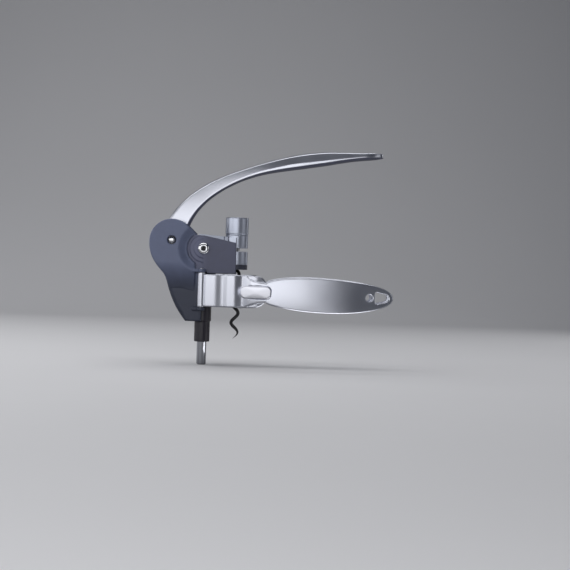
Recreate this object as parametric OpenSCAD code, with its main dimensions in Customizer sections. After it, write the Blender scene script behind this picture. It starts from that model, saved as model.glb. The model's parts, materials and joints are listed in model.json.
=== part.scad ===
// Horizontal lever corkscrew. A geared lever drives a carriage, with the worm in it, up and
// down a guide sleeve, and two hinged grips close round the neck of the bottle.
// Millimetres. The origin is on the worm's axis at the lip of the bottle, +X runs along the
// closed grips, +Z is up and the front is at -Y.

/* [Bottle neck and jaws] */
// Radius of the bottle neck between the closed pads
neck_r = 14.5; // [13.5:0.1:15.5]
// Thickness of the soft pads in the jaws
pad_t = 2; // [1.2:0.1:2.8]
// Thickness of the metal jaws
jaw_wall = 3.4; // [2.6:0.1:4.4]
// Height of the jaws
jaw_h = 26; // [22:0.5:30]

/* [Grip handles] */
// Distance of the handle tips from the worm's axis
grip_tip_x = 124.4; // [110:0.2:140]
// Height of the handle at its widest
grip_h = 27; // [22:0.2:31]
// Height of the handle at its neck
grip_neck_h = 16.6; // [14:0.2:20]
// Thickness of the handle
grip_t = 5; // [4:0.1:6.5]
// Distance from the middle plane to the handle where its straight end begins
grip_y = 15.2; // [13:0.1:17]
// Angle at which the handle's straight end leans in to the middle plane
grip_lean = 12; // [8:0.5:14]
// Drop of the handle's tip below the middle of the jaw
grip_drop = 1.9; // [0:0.1:5]
// Radius of the round hanging hole
hang_r = 3; // [2:0.1:3.6]
// Distance from the handle's tip back to the hanging hole
hang_back = 19.5; // [18.5:0.1:22]
// Length of the opening beyond the hanging hole
loop_len = 11.4; // [8:0.1:12]
// Width of that opening
loop_w = 9.4; // [6:0.1:10]
// Length of the oblong inlay at the root of the handle
inlay_len = 24; // [18:0.2:26]
// Height of the oblong inlay
inlay_h = 9.6; // [7:0.1:12]
// How far the inlay stands proud
inlay_rise = 0.8; // [0.3:0.1:1.5]

/* [Grip hinges] */
// Outer radius of the hinge barrels
barrel_r = 3; // [2.6:0.1:3.4]
// Radius of the hinge pins
hinge_pin_r = 1.5; // [1.1:0.1:1.8]
// Thickness of the ears that hold the pins
ear_t = 2.6; // [2:0.1:3]

/* [Frame] */
// Height of the lever's pivot above the bottle's lip
pivot_z = 25.4; // [24.4:0.1:26.4]
// Distance of the lever's pivot behind the worm's axis
pivot_back = 50.4; // [50:0.1:51]
// Radius of the lever's pivot pin
pivot_r = 3; // [2.5:0.1:3.4]
// Radius of the round hub of the frame
hub_r = 17.6; // [17.4:0.1:18.5]
// Thickness of the frame's cheeks
cheek_t = 3.5; // [2.8:0.1:4.5]
// Half of the space between the tail's two side walls
tail_in = 7; // [7:0.1:7.6]
// Depth of the tail below the bottle's lip
tail_depth = 37.9; // [36:0.1:41]
// Thickness of the spine between the cheeks
spine_t = 4.2; // [3.4:0.1:5]
// Radius of the frame screws
screw_r = 1.25; // [1:0.05:1.5]

/* [Lever] */
// Distance of the lever's tip in front of the worm's axis
lever_tip_x = 114; // [100:0.5:130]
// Height of the lever's tip above the bottle's lip
lever_tip_z = 96.9; // [88:0.1:104]
// Thickness of the lever where it leaves the hub
lever_root_t = 17.5; // [14:0.1:18.5]
// Thickness of the lever at its waist in the middle
lever_mid_t = 8.1; // [6:0.1:10]
// How much thicker the lever is under the palm
lever_swell = 4; // [2:0.1:5]
// Thickness of the lever near its tip
lever_tip_t = 4.2; // [3:0.1:5]
// Width of the lever where it leaves the hub
lever_root_w = 12.8; // [11:0.1:13.2]
// Width of the lever's palm rest
lever_palm_w = 22; // [16:0.2:28]

/* [Gears and racks] */
// Module of all the teeth
tooth_m = 1; // [0.97:0.01:1.02]
// Play between meshing teeth at the pitch line
backlash = 0.24; // [0.16:0.02:0.3]
// Thickness of the lever's tongue between its two gears
tongue_w = 6.6; // [6:0.1:6.8]
// Width of each lever gear
lever_gear_w = 3.1; // [2.4:0.1:3.2]

/* [Carriage and guide] */
// Distance of the guide rod behind the worm's axis
rod_back = 25.5; // [25:0.1:26]
// Radius of the guide rod
rod_r = 3.75; // [3.6:0.05:3.9]
// Depth of the guide rod's end below the bottle's lip
rod_depth = 72.5; // [66:0.5:80]
// Height of the cross rivet above the bottle's lip
rivet_z = 19.4; // [19:0.1:19.8]
// Radius of the cross rivet's heads
rivet_head_r = 4.8; // [3.6:0.1:5]
// Radius of the guide sleeve inside the tail
sleeve_r = 6.9; // [6.3:0.1:6.9]
// Radius of the guide sleeve below the tail
sleeve_low_r = 6.1; // [5.6:0.1:6.3]
// Depth of the guide sleeve's end below the bottle's lip
sleeve_depth = 54.2; // [48:0.2:60]
// Thickness of the carriage's side plates
plate_t = 3.2; // [2.8:0.1:3.6]
// Radius of the round boss on the side plates
boss_r = 12.4; // [11.8:0.1:12.5]
// Height of the carriage's top above the bottle's lip
carriage_top = 30.6; // [29.5:0.1:32]

/* [Worm and nut] */
// Outer radius of the worm
worm_r = 3.95; // [3.6:0.05:4.2]
// Radius of the worm's wire
wire_r = 1.3; // [1.1:0.05:1.4]
// Rise of the worm in one turn
worm_pitch = 15.4; // [14:0.1:17]
// Depth of the worm's point below the bottle's lip
worm_depth = 51.1; // [46:0.1:56]
// Outer radius of the two collars
collar_r = 8.9; // [8.5:0.05:9]
// Radius of the cap on the worm
cap_r = 9.05; // [8.5:0.05:10]
// Height of the cap on the worm
cap_h = 14; // [10:0.2:18]

/* [Hidden] */
$fn = 64;

// Clearances: between running faces, round a shaft that turns or slides, and past the end
// of a cut
gap = 0.4;
run = 0.06;
past = 1;

// Colours
slate = [0.26, 0.28, 0.33];
dark_slate = [0.19, 0.2, 0.23];
satin = [0.74, 0.75, 0.78];
brushed = [0.62, 0.63, 0.66];
chrome = [0.82, 0.83, 0.85];
black = [0.06, 0.06, 0.07];
steel = [0.55, 0.56, 0.58];
bronze = [0.62, 0.48, 0.28];

// Gear train: the lever's two gear sectors drive two racks on the carriage
pressure = 25;
addendum = 0.9 * tooth_m;
dedendum = 1.2 * tooth_m;
lever_teeth = 33;
lever_pitch_r = lever_teeth * tooth_m / 2;
lever_travel = 175;
carriage_travel = lever_pitch_r * lever_travel * PI / 180;
tooth_pitch = PI * tooth_m;

// Axes in the XZ plane: the lever's pivot, and the cross rivet on the guide rod. The racks'
// pitch line touches the gears' pitch circle
pivot = [-pivot_back, pivot_z];
rod_x = -rod_back;
rivet = [rod_x, rivet_z];
rack_x = pivot.x + lever_pitch_r;

// Layers outwards from the middle plane
tongue_half = tongue_w / 2;
gear_out = tongue_half + lever_gear_w;
plate_in = tail_in;
rack_in = tongue_half + 0.1;
rack_out = plate_in - 0.3;
plate_out = plate_in + plate_t;
cheek_in = plate_out + gap - 0.1;
cheek_out = cheek_in + cheek_t;

// Hub and tail of the frame: the left side runs from the hub round a belly to a waist, and
// on down to the foot
hub_sink = 1;
hub = pivot - [0, hub_sink];
hub_tip_back = 6;
hub_tip_rise = 11.4;
hub_tip = [rod_x - hub_tip_back, rivet_z + hub_tip_rise];
hub_tip_angle = 47;
bay_r = boss_r + 2 * gap;
bay_edge_x = rod_x - hub_tip_back;
tail_right_x = rod_x - 0.6;
tail_top = 0.5;
slope_top = 6;
slope_bottom = -14;
waist_back = 31;
waist_drop = 0.7;
waist = [rod_x - waist_back, -waist_drop];
belly_drop = 11.9;
belly_out = 6.9;
belly_rise = 8.1;
belly_curve = [
    hub - [hub_r, 0], hub - [hub_r, belly_drop], waist + [-belly_out, belly_rise], waist
];
waist_lead_in = 4.1;
waist_lead_down = 5.5;
tail_bend_back = 27.7;
tail_bend_rise = 17.4;
tail_foot_back = 13.1;
tail_curve = [
    waist, waist + [waist_lead_in, -waist_lead_down],
    [rod_x - tail_bend_back, -tail_depth + tail_bend_rise], [rod_x - tail_foot_back, -tail_depth]
];
spine_top = -6;
cradle_h = 6;

// Grip hinges
hinge_x = rod_x - 0.8;
hinge_y = cheek_in + gap - 0.1 + barrel_r;
barrel_top = tail_top;
barrel_bottom = -jaw_h - 0.3;
ear_gap = 0.3;

// Jaws
jaw_in_r = neck_r + pad_t;
jaw_out_r = jaw_in_r + jaw_wall;
jaw_end_angle = 15;
jaw_start_angle = 133;
bulge_r = 9;
bulge = [hinge_x + bulge_r, hinge_y - 5.3];
jaw_mid_z = -jaw_h / 2;
pad_end_angle = 22;
pad_start_angle = 120;

// Handles: the plan curve of the middle of the handle, which runs on straight past its last
// point
root_x = 3;
neck_x = 25;
widest_back = 60.4;
widest_x = grip_tip_x - widest_back;
flat_run = 36;
flat_x = widest_x + flat_run;
root_inset = 1.9;
bow_run = 27;
bow_rise = 2.1;
lean_run = 30;
lean_dir = [cos(grip_lean), -sin(grip_lean)];
grip_curve = [
    [root_x, jaw_out_r - root_inset], [root_x + bow_run, jaw_out_r + bow_rise],
    [flat_x, grip_y] - lean_run * lean_dir, [flat_x, grip_y]
];
// How soon the handle widens past its neck, and how full its end is
flare_power = 0.6;
end_power = 2.25;
hang_x = grip_tip_x - hang_back;
loop_gap = 1.7;
loop_x = hang_x + hang_r + loop_gap;
inlay_x = root_x + 1.5;
inlay_depth = 0.8;
grip_sides = 20;
grip_power = 3;

// Guide sleeve, bushes and nut
sleeve_top = -6;
sleeve_bore_r = rod_r + 0.85;
bush_len = 8;
carrier_top = 0.4;
carrier_right_x = -neck_r - 1.7;
carrier_half = plate_in - gap;
flange_bottom = 3.6;
flange_top = 7.3;
collar_top = 17.9;
nut_r = 7;
nut_top = 13.6;
worm_hole_r = worm_r + 1.2;

// Carriage
plate_bottom = tail_top + 0.5;
plate_right_x = -0.5;
plate_left_back = 7.5;
plate_left_x = rod_x - plate_left_back;
plate_top_drop = 2;
dowel_near = 8.5;
dowel_far = 14;
dowel_drop = 5.2;
rack_back_x = rod_x - rod_r - 1.25;
rack_top = carriage_top - 0.5;
rack_bottom = pivot_z - carriage_travel - 1.5 * tooth_pitch;
rack_channel_bottom = min(-tail_depth + cradle_h, rack_bottom - gap);
clamp_half = 5.2;
rivet_bore_r = 2.4;
rivet_hole_r = 1.7;
clamp_bottom = rivet_z - rivet_bore_r - 2;
rivet_rise = 2.2;
rod_top = carriage_top - 2.6;
dowel_r = 1.5;
rack_pin_r = 0.9;
rack_pin_depth = 1.6;
rack_pin_len = 3.8;
worm_collar_bottom = collar_top + 2.5;
worm_collar_lip = 2.2;
worm_collar_bore_r = 7;

// Worm and its head
coil_r = worm_r - wire_r;
worm_phase_z = -31;
worm_sides = 8;
worm_step = worm_pitch / 12;
worm_taper = 9;
ramp_bottom = nut_top + 1;
ramp_top = collar_top + 0.4;
head_shank_r = 2.5;
head_bottom = collar_top + 0.6;
head_flange_r = worm_collar_bore_r - gap;
head_flange_t = 1.9;
washer_t = 0.8;
washer_play = 0.05;
head_seat = worm_collar_bottom + worm_collar_lip;
head_flange_z = head_seat + washer_t + washer_play;
head_top = head_flange_z + head_flange_t;
upper_washer_z = head_top + washer_play;
spigot_z = upper_washer_z + washer_t;
worm_top = head_top - 1;

// Lever curve, from inside the hub to the tip
lever_dir = 72;
lever_reach = 14.2;
lever_start = pivot + lever_reach * [cos(lever_dir), sin(lever_dir)];
lever_lean = 18.8;
lever_climb = 40;
lever_sweep = 76;
lever_dip = 3.5;
lever_curve = [
    lever_start, lever_start + [lever_lean, lever_climb],
    [lever_tip_x - lever_sweep, lever_tip_z - lever_dip], [lever_tip_x, lever_tip_z]
];
lever_sides = 20;
lever_power = 2.6;
lever_hub_r = 7.2;
lever_rivet_r = 1.6;
lever_rivet_reach = 8.4;
lever_rivet_spread = 32;
bush_r = pivot_r + 1.5;

// Curves and lofts

function lerp(a, b, t) = a + (b - a) * t;
function clamp01(t) = min(max(t, 0), 1);
function smooth(t) = let (u = clamp01(t)) u * u * (3 - 2 * u);
function signed_power(v, e) = sign(v) * pow(abs(v), e);

// Point and direction on a cubic curve with four control points
function bezier(p, t) =
    (1 - t) ^ 3 * p[0] + 3 * (1 - t) ^ 2 * t * p[1] + 3 * (1 - t) * t ^ 2 * p[2] + t ^ 3 * p[3];
function bezier_dir(p, t) =
    let (d = (1 - t) ^ 2 * (p[1] - p[0]) + 2 * (1 - t) * t * (p[2] - p[1]) + t ^ 2 * (p[3] - p[2]))
    d / norm(d);
function bezier_points(p, t0, t1, n) = [for (i = [0:n]) bezier(p, lerp(t0, t1, i / n))];

// Rounded section with half sizes a along e1 and b along e2
function section(centre, e1, e2, a, b, sides, power) = [
    for (k = [0:sides - 1])
        let (angle = 360 * (k + 0.5) / sides)
        centre + e1 * a * signed_power(cos(angle), 2 / power) + e2 * b * signed_power(sin(angle), 2 / power)
];

// Closed skin over a list of rings with equal numbers of points
module loft(rings) {
    sides = len(rings[0]);
    last = len(rings) - 1;
    polyhedron(
        points = [for (ring = rings) each ring],
        faces = concat(
            [for (i = [0:last - 1], k = [0:sides - 1])
                [i * sides + k, (i + 1) * sides + k, i * sides + (k + 1) % sides]],
            [for (i = [0:last - 1], k = [0:sides - 1])
                [i * sides + (k + 1) % sides, (i + 1) * sides + k, (i + 1) * sides + (k + 1) % sides]],
            [for (k = [1:sides - 2]) [0, k, k + 1]],
            [for (k = [1:sides - 2]) [last * sides, last * sides + k + 1, last * sides + k]]
        )
    );
}

// Placing: a flat outline drawn in X and Z, thickened between two values of Y, and the same
// on one side of the middle plane, with side -1 at the front and 1 at the rear
module slab(y0, y1) {
    translate([0, y1, 0]) rotate([90, 0, 0]) linear_extrude(y1 - y0) children();
}
module side_slab(side, inner, outer) {
    if (side < 0) slab(-outer, -inner) children();
    else slab(inner, outer) children();
}
module rod_y(at, r, y0, y1) {
    translate([at.x, y0, at.y]) rotate([-90, 0, 0]) cylinder(r = r, h = y1 - y0);
}
module side_rod(side, at, r, inner, outer) {
    if (side < 0) rod_y(at, r, -outer, -inner);
    else rod_y(at, r, inner, outer);
}
module tube(r_in, r_out, z0, z1) {
    difference() {
        translate([0, 0, z0]) cylinder(r = r_out, h = z1 - z0);
        translate([0, 0, z0 - past]) cylinder(r = r_in, h = z1 - z0 + 2 * past);
    }
}
module box(low, high) {
    translate(low) cube(high - low);
}

// Gears

function involute(angle) = tan(angle) * 180 / PI - angle;
// Half of a tooth's angle at radius r, on a gear with the given pitch radius
function tooth_half(r, pitch_r, teeth) =
    let (base = pitch_r * cos(pressure))
    (90 - backlash / 4 / pitch_r * teeth * 180 / PI) / teeth
        + involute(pressure) - involute(acos(min(base / max(r, base), 1)));
module gear_2d(teeth, phase) {
    pitch_r = teeth * tooth_m / 2;
    low = pitch_r - dedendum;
    high = pitch_r + addendum;
    steps = 6;
    radii = [for (i = [0:steps]) lerp(low, high, i / steps)];
    polygon([
        for (i = [0:teeth - 1]) each [
            for (r = radii) let (a = phase + 360 * i / teeth - tooth_half(r, pitch_r, teeth)) r * [cos(a), sin(a)],
            for (k = [steps:-1:0])
                let (r = radii[k], a = phase + 360 * i / teeth + tooth_half(r, pitch_r, teeth)) r * [cos(a), sin(a)]
        ]
    ]);
}

// Frame

// Points down the left side of the hub and the tail
tail_side = concat(bezier_points(belly_curve, 0, 0.95, 12), bezier_points(tail_curve, 0, 1, 20));
module hub_outline() {
    steps = 32;
    side = [for (p = tail_side) if (p.y > slope_bottom) p];
    difference() {
        polygon(concat(
            [hub_tip],
            [for (i = [0:steps - 1]) let (a = lerp(hub_tip_angle, 180, i / steps)) hub + hub_r * [cos(a), sin(a)]],
            side, [[side[len(side) - 1].x, slope_bottom], [bay_edge_x, slope_bottom]]
        ));
        translate(rivet) circle(r = bay_r);
    }
}
module tail_outline(top, left_shift) {
    side = [for (p = tail_side) if (p.y < top) p + [left_shift, 0]];
    polygon(concat(
        [[tail_right_x, top], [side[0].x, top]], side, [[tail_right_x, -tail_depth]]
    ));
}
module hinge_ear(side, z0, z1, inner) {
    difference() {
        union() {
            translate([hinge_x, side * hinge_y, z0]) cylinder(r = barrel_r, h = z1 - z0);
            box([bay_edge_x - 2, min(side * inner, side * hinge_y), z0], [hinge_x, max(side * inner, side * hinge_y), z1]);
        }
        translate([hinge_x, side * hinge_y, z0 - past]) cylinder(r = hinge_pin_r, h = z1 - z0 + 2 * past);
    }
}
module frame_cheek(side) {
    color(slate) difference() {
        union() {
            difference() {
                side_slab(side, cheek_in, cheek_out) hub_outline();
                // The tail's side slopes inwards below the hub
                translate([hub.x - 2 * hub_r, 0, 0]) rotate([90, 0, 90]) linear_extrude(4 * hub_r)
                    polygon([
                        [side * (cheek_out + past), slope_top], [side * cheek_out, slope_top],
                        [side * cheek_in, slope_bottom], [side * cheek_in, slope_bottom - past],
                        [side * (cheek_out + past), slope_bottom - past]
                    ]);
            }
            side_slab(side, tail_in, cheek_in) tail_outline(tail_top, 0);
            hinge_ear(side, barrel_top + ear_gap, barrel_top + ear_gap + ear_t, cheek_in);
            hinge_ear(side, barrel_bottom - ear_gap - ear_t, barrel_bottom - ear_gap, tail_in + 1);
        }
        side_rod(side, pivot, pivot_r, cheek_in - past, cheek_out + past);
        for (at = screw_places) {
            if (side < 0) side_rod(side, at, screw_r, tail_in - past, tail_in + 2);
            else side_rod(side, at, screw_r, tail_in - past, cheek_in + past);
        }
    }
}
// Frame screws sit along the middle of the spine, and one in its foot
screw_places = [
    bezier(tail_curve, 0.6) + [spine_t / 2, 0],
    bezier(tail_curve, 0.82) + [spine_t / 2, 0],
    [tail_curve[3].x + 4, -tail_depth + cradle_h / 2]
];
module frame_cheek_front() { frame_cheek(-1); }
module frame_cheek_rear() { frame_cheek(1); }
module frame_spine() {
    color(dark_slate) difference() {
        union() {
            slab(-tail_in, tail_in) difference() {
                tail_outline(spine_top, 0);
                tail_outline(spine_top + past, spine_t);
            }
            slab(-tail_in, tail_in) intersection() {
                tail_outline(spine_top, 0);
                translate([tail_curve[0].x, -tail_depth]) square([tail_right_x - tail_curve[0].x, cradle_h]);
            }
        }
        translate([rod_x, 0, -tail_depth - past]) cylinder(r = sleeve_r, h = cradle_h + 2 * past);
        for (at = screw_places) rod_y(at, screw_r, -tail_in - past, tail_in + past);
        rack_channel();
    }
}
module frame_screws() {
    color(steel) for (at = screw_places) {
        rod_y(at, screw_r, -tail_in - 2, cheek_in);
        difference() {
            rod_y(at, screw_r * 1.9, cheek_in, cheek_in + screw_r);
            box([at.x - 2 * screw_r, cheek_in + screw_r / 2, at.y - screw_r / 4],
                [at.x + 2 * screw_r, cheek_in + 2 * screw_r, at.y + screw_r / 4]);
        }
    }
}
module lever_pivot_pin() {
    rise = 0.5;
    color(chrome) {
        rod_y(pivot, pivot_r, -cheek_out, cheek_out);
        for (side = [-1, 1]) translate([pivot.x, side * cheek_out, pivot.y]) rotate([-90 * side, 0, 0])
            cylinder(r1 = pivot_r, r2 = pivot_r - rise, h = rise);
    }
}
module pivot_spacers() {
    color(steel) for (side = [-1, 1]) difference() {
        side_rod(side, pivot, 2 * pivot_r, gear_out + run, cheek_in);
        side_rod(side, pivot, pivot_r, 0, cheek_out);
    }
}
module guide_sleeve() {
    flange_t = 3;
    color(black) difference() {
        translate([rod_x, 0, 0]) difference() {
            union() {
                translate([0, 0, -tail_depth - 0.3]) cylinder(r = sleeve_r, h = tail_depth + 0.3 + sleeve_top);
                translate([0, 0, -sleeve_depth]) cylinder(r = sleeve_low_r, h = sleeve_depth - tail_depth);
                box([-sleeve_r, -tail_in, sleeve_top - flange_t], [sleeve_r, tail_in, sleeve_top]);
            }
            translate([0, 0, -sleeve_depth - past]) cylinder(r = sleeve_bore_r, h = sleeve_depth + 2 * past);
        }
        rack_channel();
    }
}
module rod_bush(z0) {
    color(bronze) translate([rod_x, 0, 0]) tube(rod_r + run, sleeve_bore_r, z0, z0 + bush_len);
}
module rod_bush_upper() { rod_bush(sleeve_top - bush_len); }
module rod_bush_lower() { rod_bush(-sleeve_depth); }

// Room for the racks where they run down past the sleeve
module rack_channel() {
    for (side = [-1, 1])
        box([rack_x - addendum - gap, min(side * (rack_in - 0.3), side * tail_in), rack_channel_bottom],
            [rack_back_x + gap - 0.1, max(side * (rack_in - 0.3), side * tail_in), collar_top]);
}
// Nut: its carrier stands on the guide sleeve and reaches forward between the side plates
module nut_carrier() {
    web_left_x = rod_x + clamp_half + gap;
    color(dark_slate) difference() {
        union() {
            box([rod_x - sleeve_r, -tail_in, sleeve_top], [carrier_right_x, tail_in, carrier_top]);
            box([web_left_x, -carrier_half, carrier_top - past], [carrier_right_x, carrier_half, flange_top]);
            box([web_left_x, -carrier_half, flange_bottom], [-collar_r / 2, carrier_half, collar_top - gap]);
            translate([0, 0, flange_bottom]) cylinder(r = collar_r, h = flange_top - flange_bottom);
        }
        translate([rod_x, 0, sleeve_top - past]) cylinder(r = sleeve_bore_r, h = collar_top - sleeve_top);
        translate([0, 0, flange_top]) cylinder(r = collar_r, h = collar_top);
        translate([0, 0, flange_bottom - past]) cylinder(r = worm_hole_r, h = collar_top);
        rack_channel();
    }
}
module nut_collar() {
    color(brushed) tube(nut_r, collar_r, flange_top, collar_top);
}
function worm_angle(z) = 360 * (z - worm_phase_z) / worm_pitch;
// The nut has one helical slot that the wire runs through
module worm_nut() {
    slot_half = 60;
    slot_in = max(coil_r - wire_r - gap, 0.4);
    slot_out = worm_r + gap;
    steps = 8;
    z0 = flange_top - past / 2;
    h = nut_top - flange_top + past;
    color(bronze) difference() {
        translate([0, 0, flange_top]) cylinder(r = nut_r, h = nut_top - flange_top);
        translate([0, 0, z0]) rotate([0, 0, worm_angle(z0)])
            linear_extrude(h, twist = -360 * h / worm_pitch, slices = 18)
                polygon(concat(
                    [for (i = [-steps:steps]) slot_out * [cos(slot_half * i / steps), sin(slot_half * i / steps)]],
                    [for (i = [steps:-steps:-steps]) slot_in * [cos(slot_half * i / steps), sin(slot_half * i / steps)]]
                ));
    }
}
module hinge_pin(side) {
    z0 = barrel_bottom - ear_gap - ear_t;
    z1 = barrel_top + ear_gap + ear_t;
    color(steel) translate([hinge_x, side * hinge_y, z0]) cylinder(r = hinge_pin_r, h = z1 - z0 + 0.4);
}
module hinge_pin_front() { hinge_pin(-1); }
module hinge_pin_rear() { hinge_pin(1); }

// Lever

function lever_thickness(s) =
    lever_tip_t + (lever_mid_t - lever_tip_t) * smooth((1 - s) / 0.4)
        + (lever_root_t - lever_mid_t) * pow(1 - min(s / 0.46, 1), 1.3)
        + lever_swell * smooth((s - 0.5) / 0.26) * (1 - smooth((s - 0.78) / 0.16));
function lever_half_width(s) = lerp(lever_root_w, lever_palm_w, smooth((s - 0.22) / 0.5)) / 2;
// Ring across the lever at s along its curve; end goes from 0 to 1 round the tip
function lever_ring(s, end) =
    let (at = bezier(lever_curve, s), d = bezier_dir(lever_curve, s), round = sqrt(1 - end * end))
    section(
        [at.x, 0, at.y], [-d.y, 0, d.x], [0, -1, 0],
        lever_thickness(s) / 2 * lerp(0.6, 1, round), lever_half_width(s) * lerp(0.06, 1, round),
        lever_sides, lever_power
    );
module lever_blade() {
    rounding = 0.07;
    body = 26;
    tip = 6;
    loft(concat(
        [for (i = [0:body]) lever_ring((1 - rounding) * i / body, 0)],
        [for (i = [1:tip]) let (e = sin(90 * i / tip)) lever_ring(1 - rounding + rounding * e, e)]
    ));
}
lever_rivet_places = [
    for (a = [-1, 1])
        let (turn = lever_dir + a * lever_rivet_spread)
        pivot + lever_rivet_reach * [cos(turn), sin(turn)]
];
module lever_arm() {
    across = [sin(lever_dir), -cos(lever_dir)];
    along = [cos(lever_dir), sin(lever_dir)];
    half = lever_root_t / 2 * 0.85;
    color(satin) difference() {
        union() {
            lever_blade();
            slab(-tongue_half, tongue_half) polygon([
                pivot + lever_hub_r * across, lever_start + half * across + 2 * along,
                lever_start - half * across + 2 * along, pivot - lever_hub_r * across
            ]);
            rod_y(pivot, lever_hub_r, -tongue_half, tongue_half);
        }
        rod_y(pivot, bush_r, -tongue_half - past, tongue_half + past);
        for (at = lever_rivet_places) rod_y(at, lever_rivet_r, -tongue_half - past, tongue_half + past);
    }
}
// Gear sector, with teeth only where they meet the rack
module lever_gear(side) {
    spare = 14;
    disc_r = lever_rivet_reach + lever_rivet_r + 1;
    steps = 12;
    color(steel) difference() {
        side_slab(side, tongue_half, gear_out) translate(pivot) intersection() {
            gear_2d(lever_teeth, 0);
            union() {
                circle(r = disc_r);
                polygon(concat([[0, 0]], [
                    for (i = [0:steps])
                        let (a = lerp(-lever_travel - spare, spare, i / steps))
                        2 * lever_pitch_r * [cos(a), sin(a)]
                ]));
            }
        }
        side_rod(side, pivot, bush_r, tongue_half - past, gear_out + past);
        for (at = lever_rivet_places) side_rod(side, at, lever_rivet_r, tongue_half - past, gear_out + past);
    }
}
module lever_gear_front() { lever_gear(-1); }
module lever_gear_rear() { lever_gear(1); }
module lever_bush() {
    color(bronze) difference() {
        rod_y(pivot, bush_r, -gear_out, gear_out);
        rod_y(pivot, pivot_r + run, -gear_out - past, gear_out + past);
    }
}
module lever_rivets() {
    color(steel) for (at = lever_rivet_places) rod_y(at, lever_rivet_r, -gear_out, gear_out);
}

// Carriage

module plate_outline() {
    union() {
        translate(rivet) circle(r = boss_r);
        polygon([
            [plate_left_x, plate_bottom], [plate_right_x, plate_bottom],
            [plate_right_x, carriage_top - plate_top_drop], [rod_x, carriage_top], [plate_left_x, rivet_z]
        ]);
    }
}
rack_pin_places = [
    for (y = [-1, 1] * (rack_in + rack_out) / 2, z = [clamp_bottom + 2, rivet_z + rivet_bore_r + 3])
        [rack_back_x - rack_pin_depth, y, z]
];
module rack_pins() {
    for (at = rack_pin_places) translate(at) rotate([0, 90, 0]) cylinder(r = rack_pin_r, h = rack_pin_len);
}
dowel_places = [for (run_x = [dowel_near, dowel_far]) [rod_x + run_x, carriage_top - dowel_drop]];
module carriage_plate(side) {
    step_r = [boss_r - 1.9, boss_r - 4.6];
    step_down = [1, 0.5];
    color(dark_slate) difference() {
        side_slab(side, plate_in, plate_out) plate_outline();
        // Two steps round the rivet, on the side of the frame's bay
        for (i = [0:1]) side_slab(side, plate_out - step_down[i], plate_out + past) difference() {
            translate(rivet) circle(r = bay_r);
            translate(rivet) circle(r = step_r[i]);
            translate([rod_x, rivet_z - 2 * bay_r]) square([2 * bay_r, 4 * bay_r]);
        }
        side_rod(side, rivet, rivet_bore_r, plate_in - past, plate_out + past);
        for (at = dowel_places) side_rod(side, at, dowel_r, plate_in - past, plate_out - 1);
        translate([0, 0, plate_bottom - past]) cylinder(r = collar_r + gap, h = worm_collar_bottom - plate_bottom + past);
        translate([0, 0, worm_collar_bottom - past]) cylinder(r = collar_r, h = carriage_top);
    }
}
module carriage_plate_front() { carriage_plate(-1); }
module carriage_plate_rear() { carriage_plate(1); }
module carriage_bridge() {
    color(dark_slate) difference() {
        union() {
            box([rack_back_x, -plate_in, worm_collar_bottom], [-collar_r / 2, plate_in, carriage_top - plate_top_drop]);
            box([rack_back_x, -plate_in, clamp_bottom], [rod_x + clamp_half, plate_in, worm_collar_bottom + past]);
        }
        translate([0, 0, worm_collar_bottom - past]) cylinder(r = collar_r, h = carriage_top);
        translate([rod_x, 0, clamp_bottom - past]) cylinder(r = rod_r, h = rod_top - clamp_bottom + past);
        rod_y(rivet, rivet_bore_r, -plate_in - past, plate_in + past);
        for (side = [-1, 1], at = dowel_places) side_rod(side, at, dowel_r, plate_in - 2, plate_in + past);
        rack_pins();
    }
}
// Dowels join the side plates to the bridge, and smaller pins join the racks to it
module carriage_dowels() {
    color(steel) {
        for (side = [-1, 1], at = dowel_places) side_rod(side, at, dowel_r, plate_in - 2, plate_out - 1);
        rack_pins();
    }
}
// Rack on the carriage, with its teeth towards the lever's gear
module rack_outline() {
    function half_gap(out) = tooth_pitch / 4 + backlash / 4 + out * tan(pressure);
    tips_x = rack_x - addendum;
    roots_x = rack_x + dedendum;
    below = floor((pivot_z - rack_bottom) / tooth_pitch - 0.4);
    polygon(concat(
        [[rack_back_x, rack_top], [rack_back_x, rack_bottom], [tips_x, rack_bottom]],
        [for (k = [-below:1]) let (z = pivot_z + k * tooth_pitch) each [
            [tips_x, z - half_gap(addendum)], [roots_x, z - half_gap(-dedendum)],
            [roots_x, z + half_gap(-dedendum)], [tips_x, z + half_gap(addendum)]
        ]],
        [[tips_x, rack_top]]
    ));
}
module carriage_rack(side) {
    color(steel) difference() {
        side_slab(side, rack_in, rack_out) rack_outline();
        rack_pins();
    }
}
module carriage_rack_front() { carriage_rack(-1); }
module carriage_rack_rear() { carriage_rack(1); }
module guide_rod() {
    point = 0.8;
    color(chrome) difference() {
        translate([rod_x, 0, 0]) {
            translate([0, 0, -rod_depth + point]) cylinder(r = rod_r, h = rod_depth - point + rod_top);
            translate([0, 0, -rod_depth]) cylinder(r1 = rod_r - point, r2 = rod_r, h = point);
        }
        rod_y(rivet, rivet_bore_r, -2 * rod_r, 2 * rod_r);
    }
}
module rod_cross_rivet() {
    steps = 10;
    color(chrome) {
        difference() {
            rod_y(rivet, rivet_bore_r, -plate_out, plate_out);
            rod_y(rivet, rivet_hole_r, -plate_out - past, plate_out + past);
        }
        for (side = [-1, 1]) translate([rivet.x, side * plate_out, rivet.y]) rotate([-90 * side, 0, 0])
            rotate_extrude() polygon(concat(
                [[rivet_hole_r, 0], [rivet_head_r, 0]],
                [for (i = [1:steps])
                    let (a = 90 * i / steps)
                    [lerp(rivet_bore_r, rivet_head_r, cos(a)), rivet_rise * sin(a)]],
                [[rivet_hole_r, rivet_rise - 0.4]]
            ));
    }
}
module worm_collar() {
    color(brushed) {
        tube(head_shank_r + run, collar_r, worm_collar_bottom, head_seat);
        tube(worm_collar_bore_r, collar_r, head_seat, carriage_top);
    }
}
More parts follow.
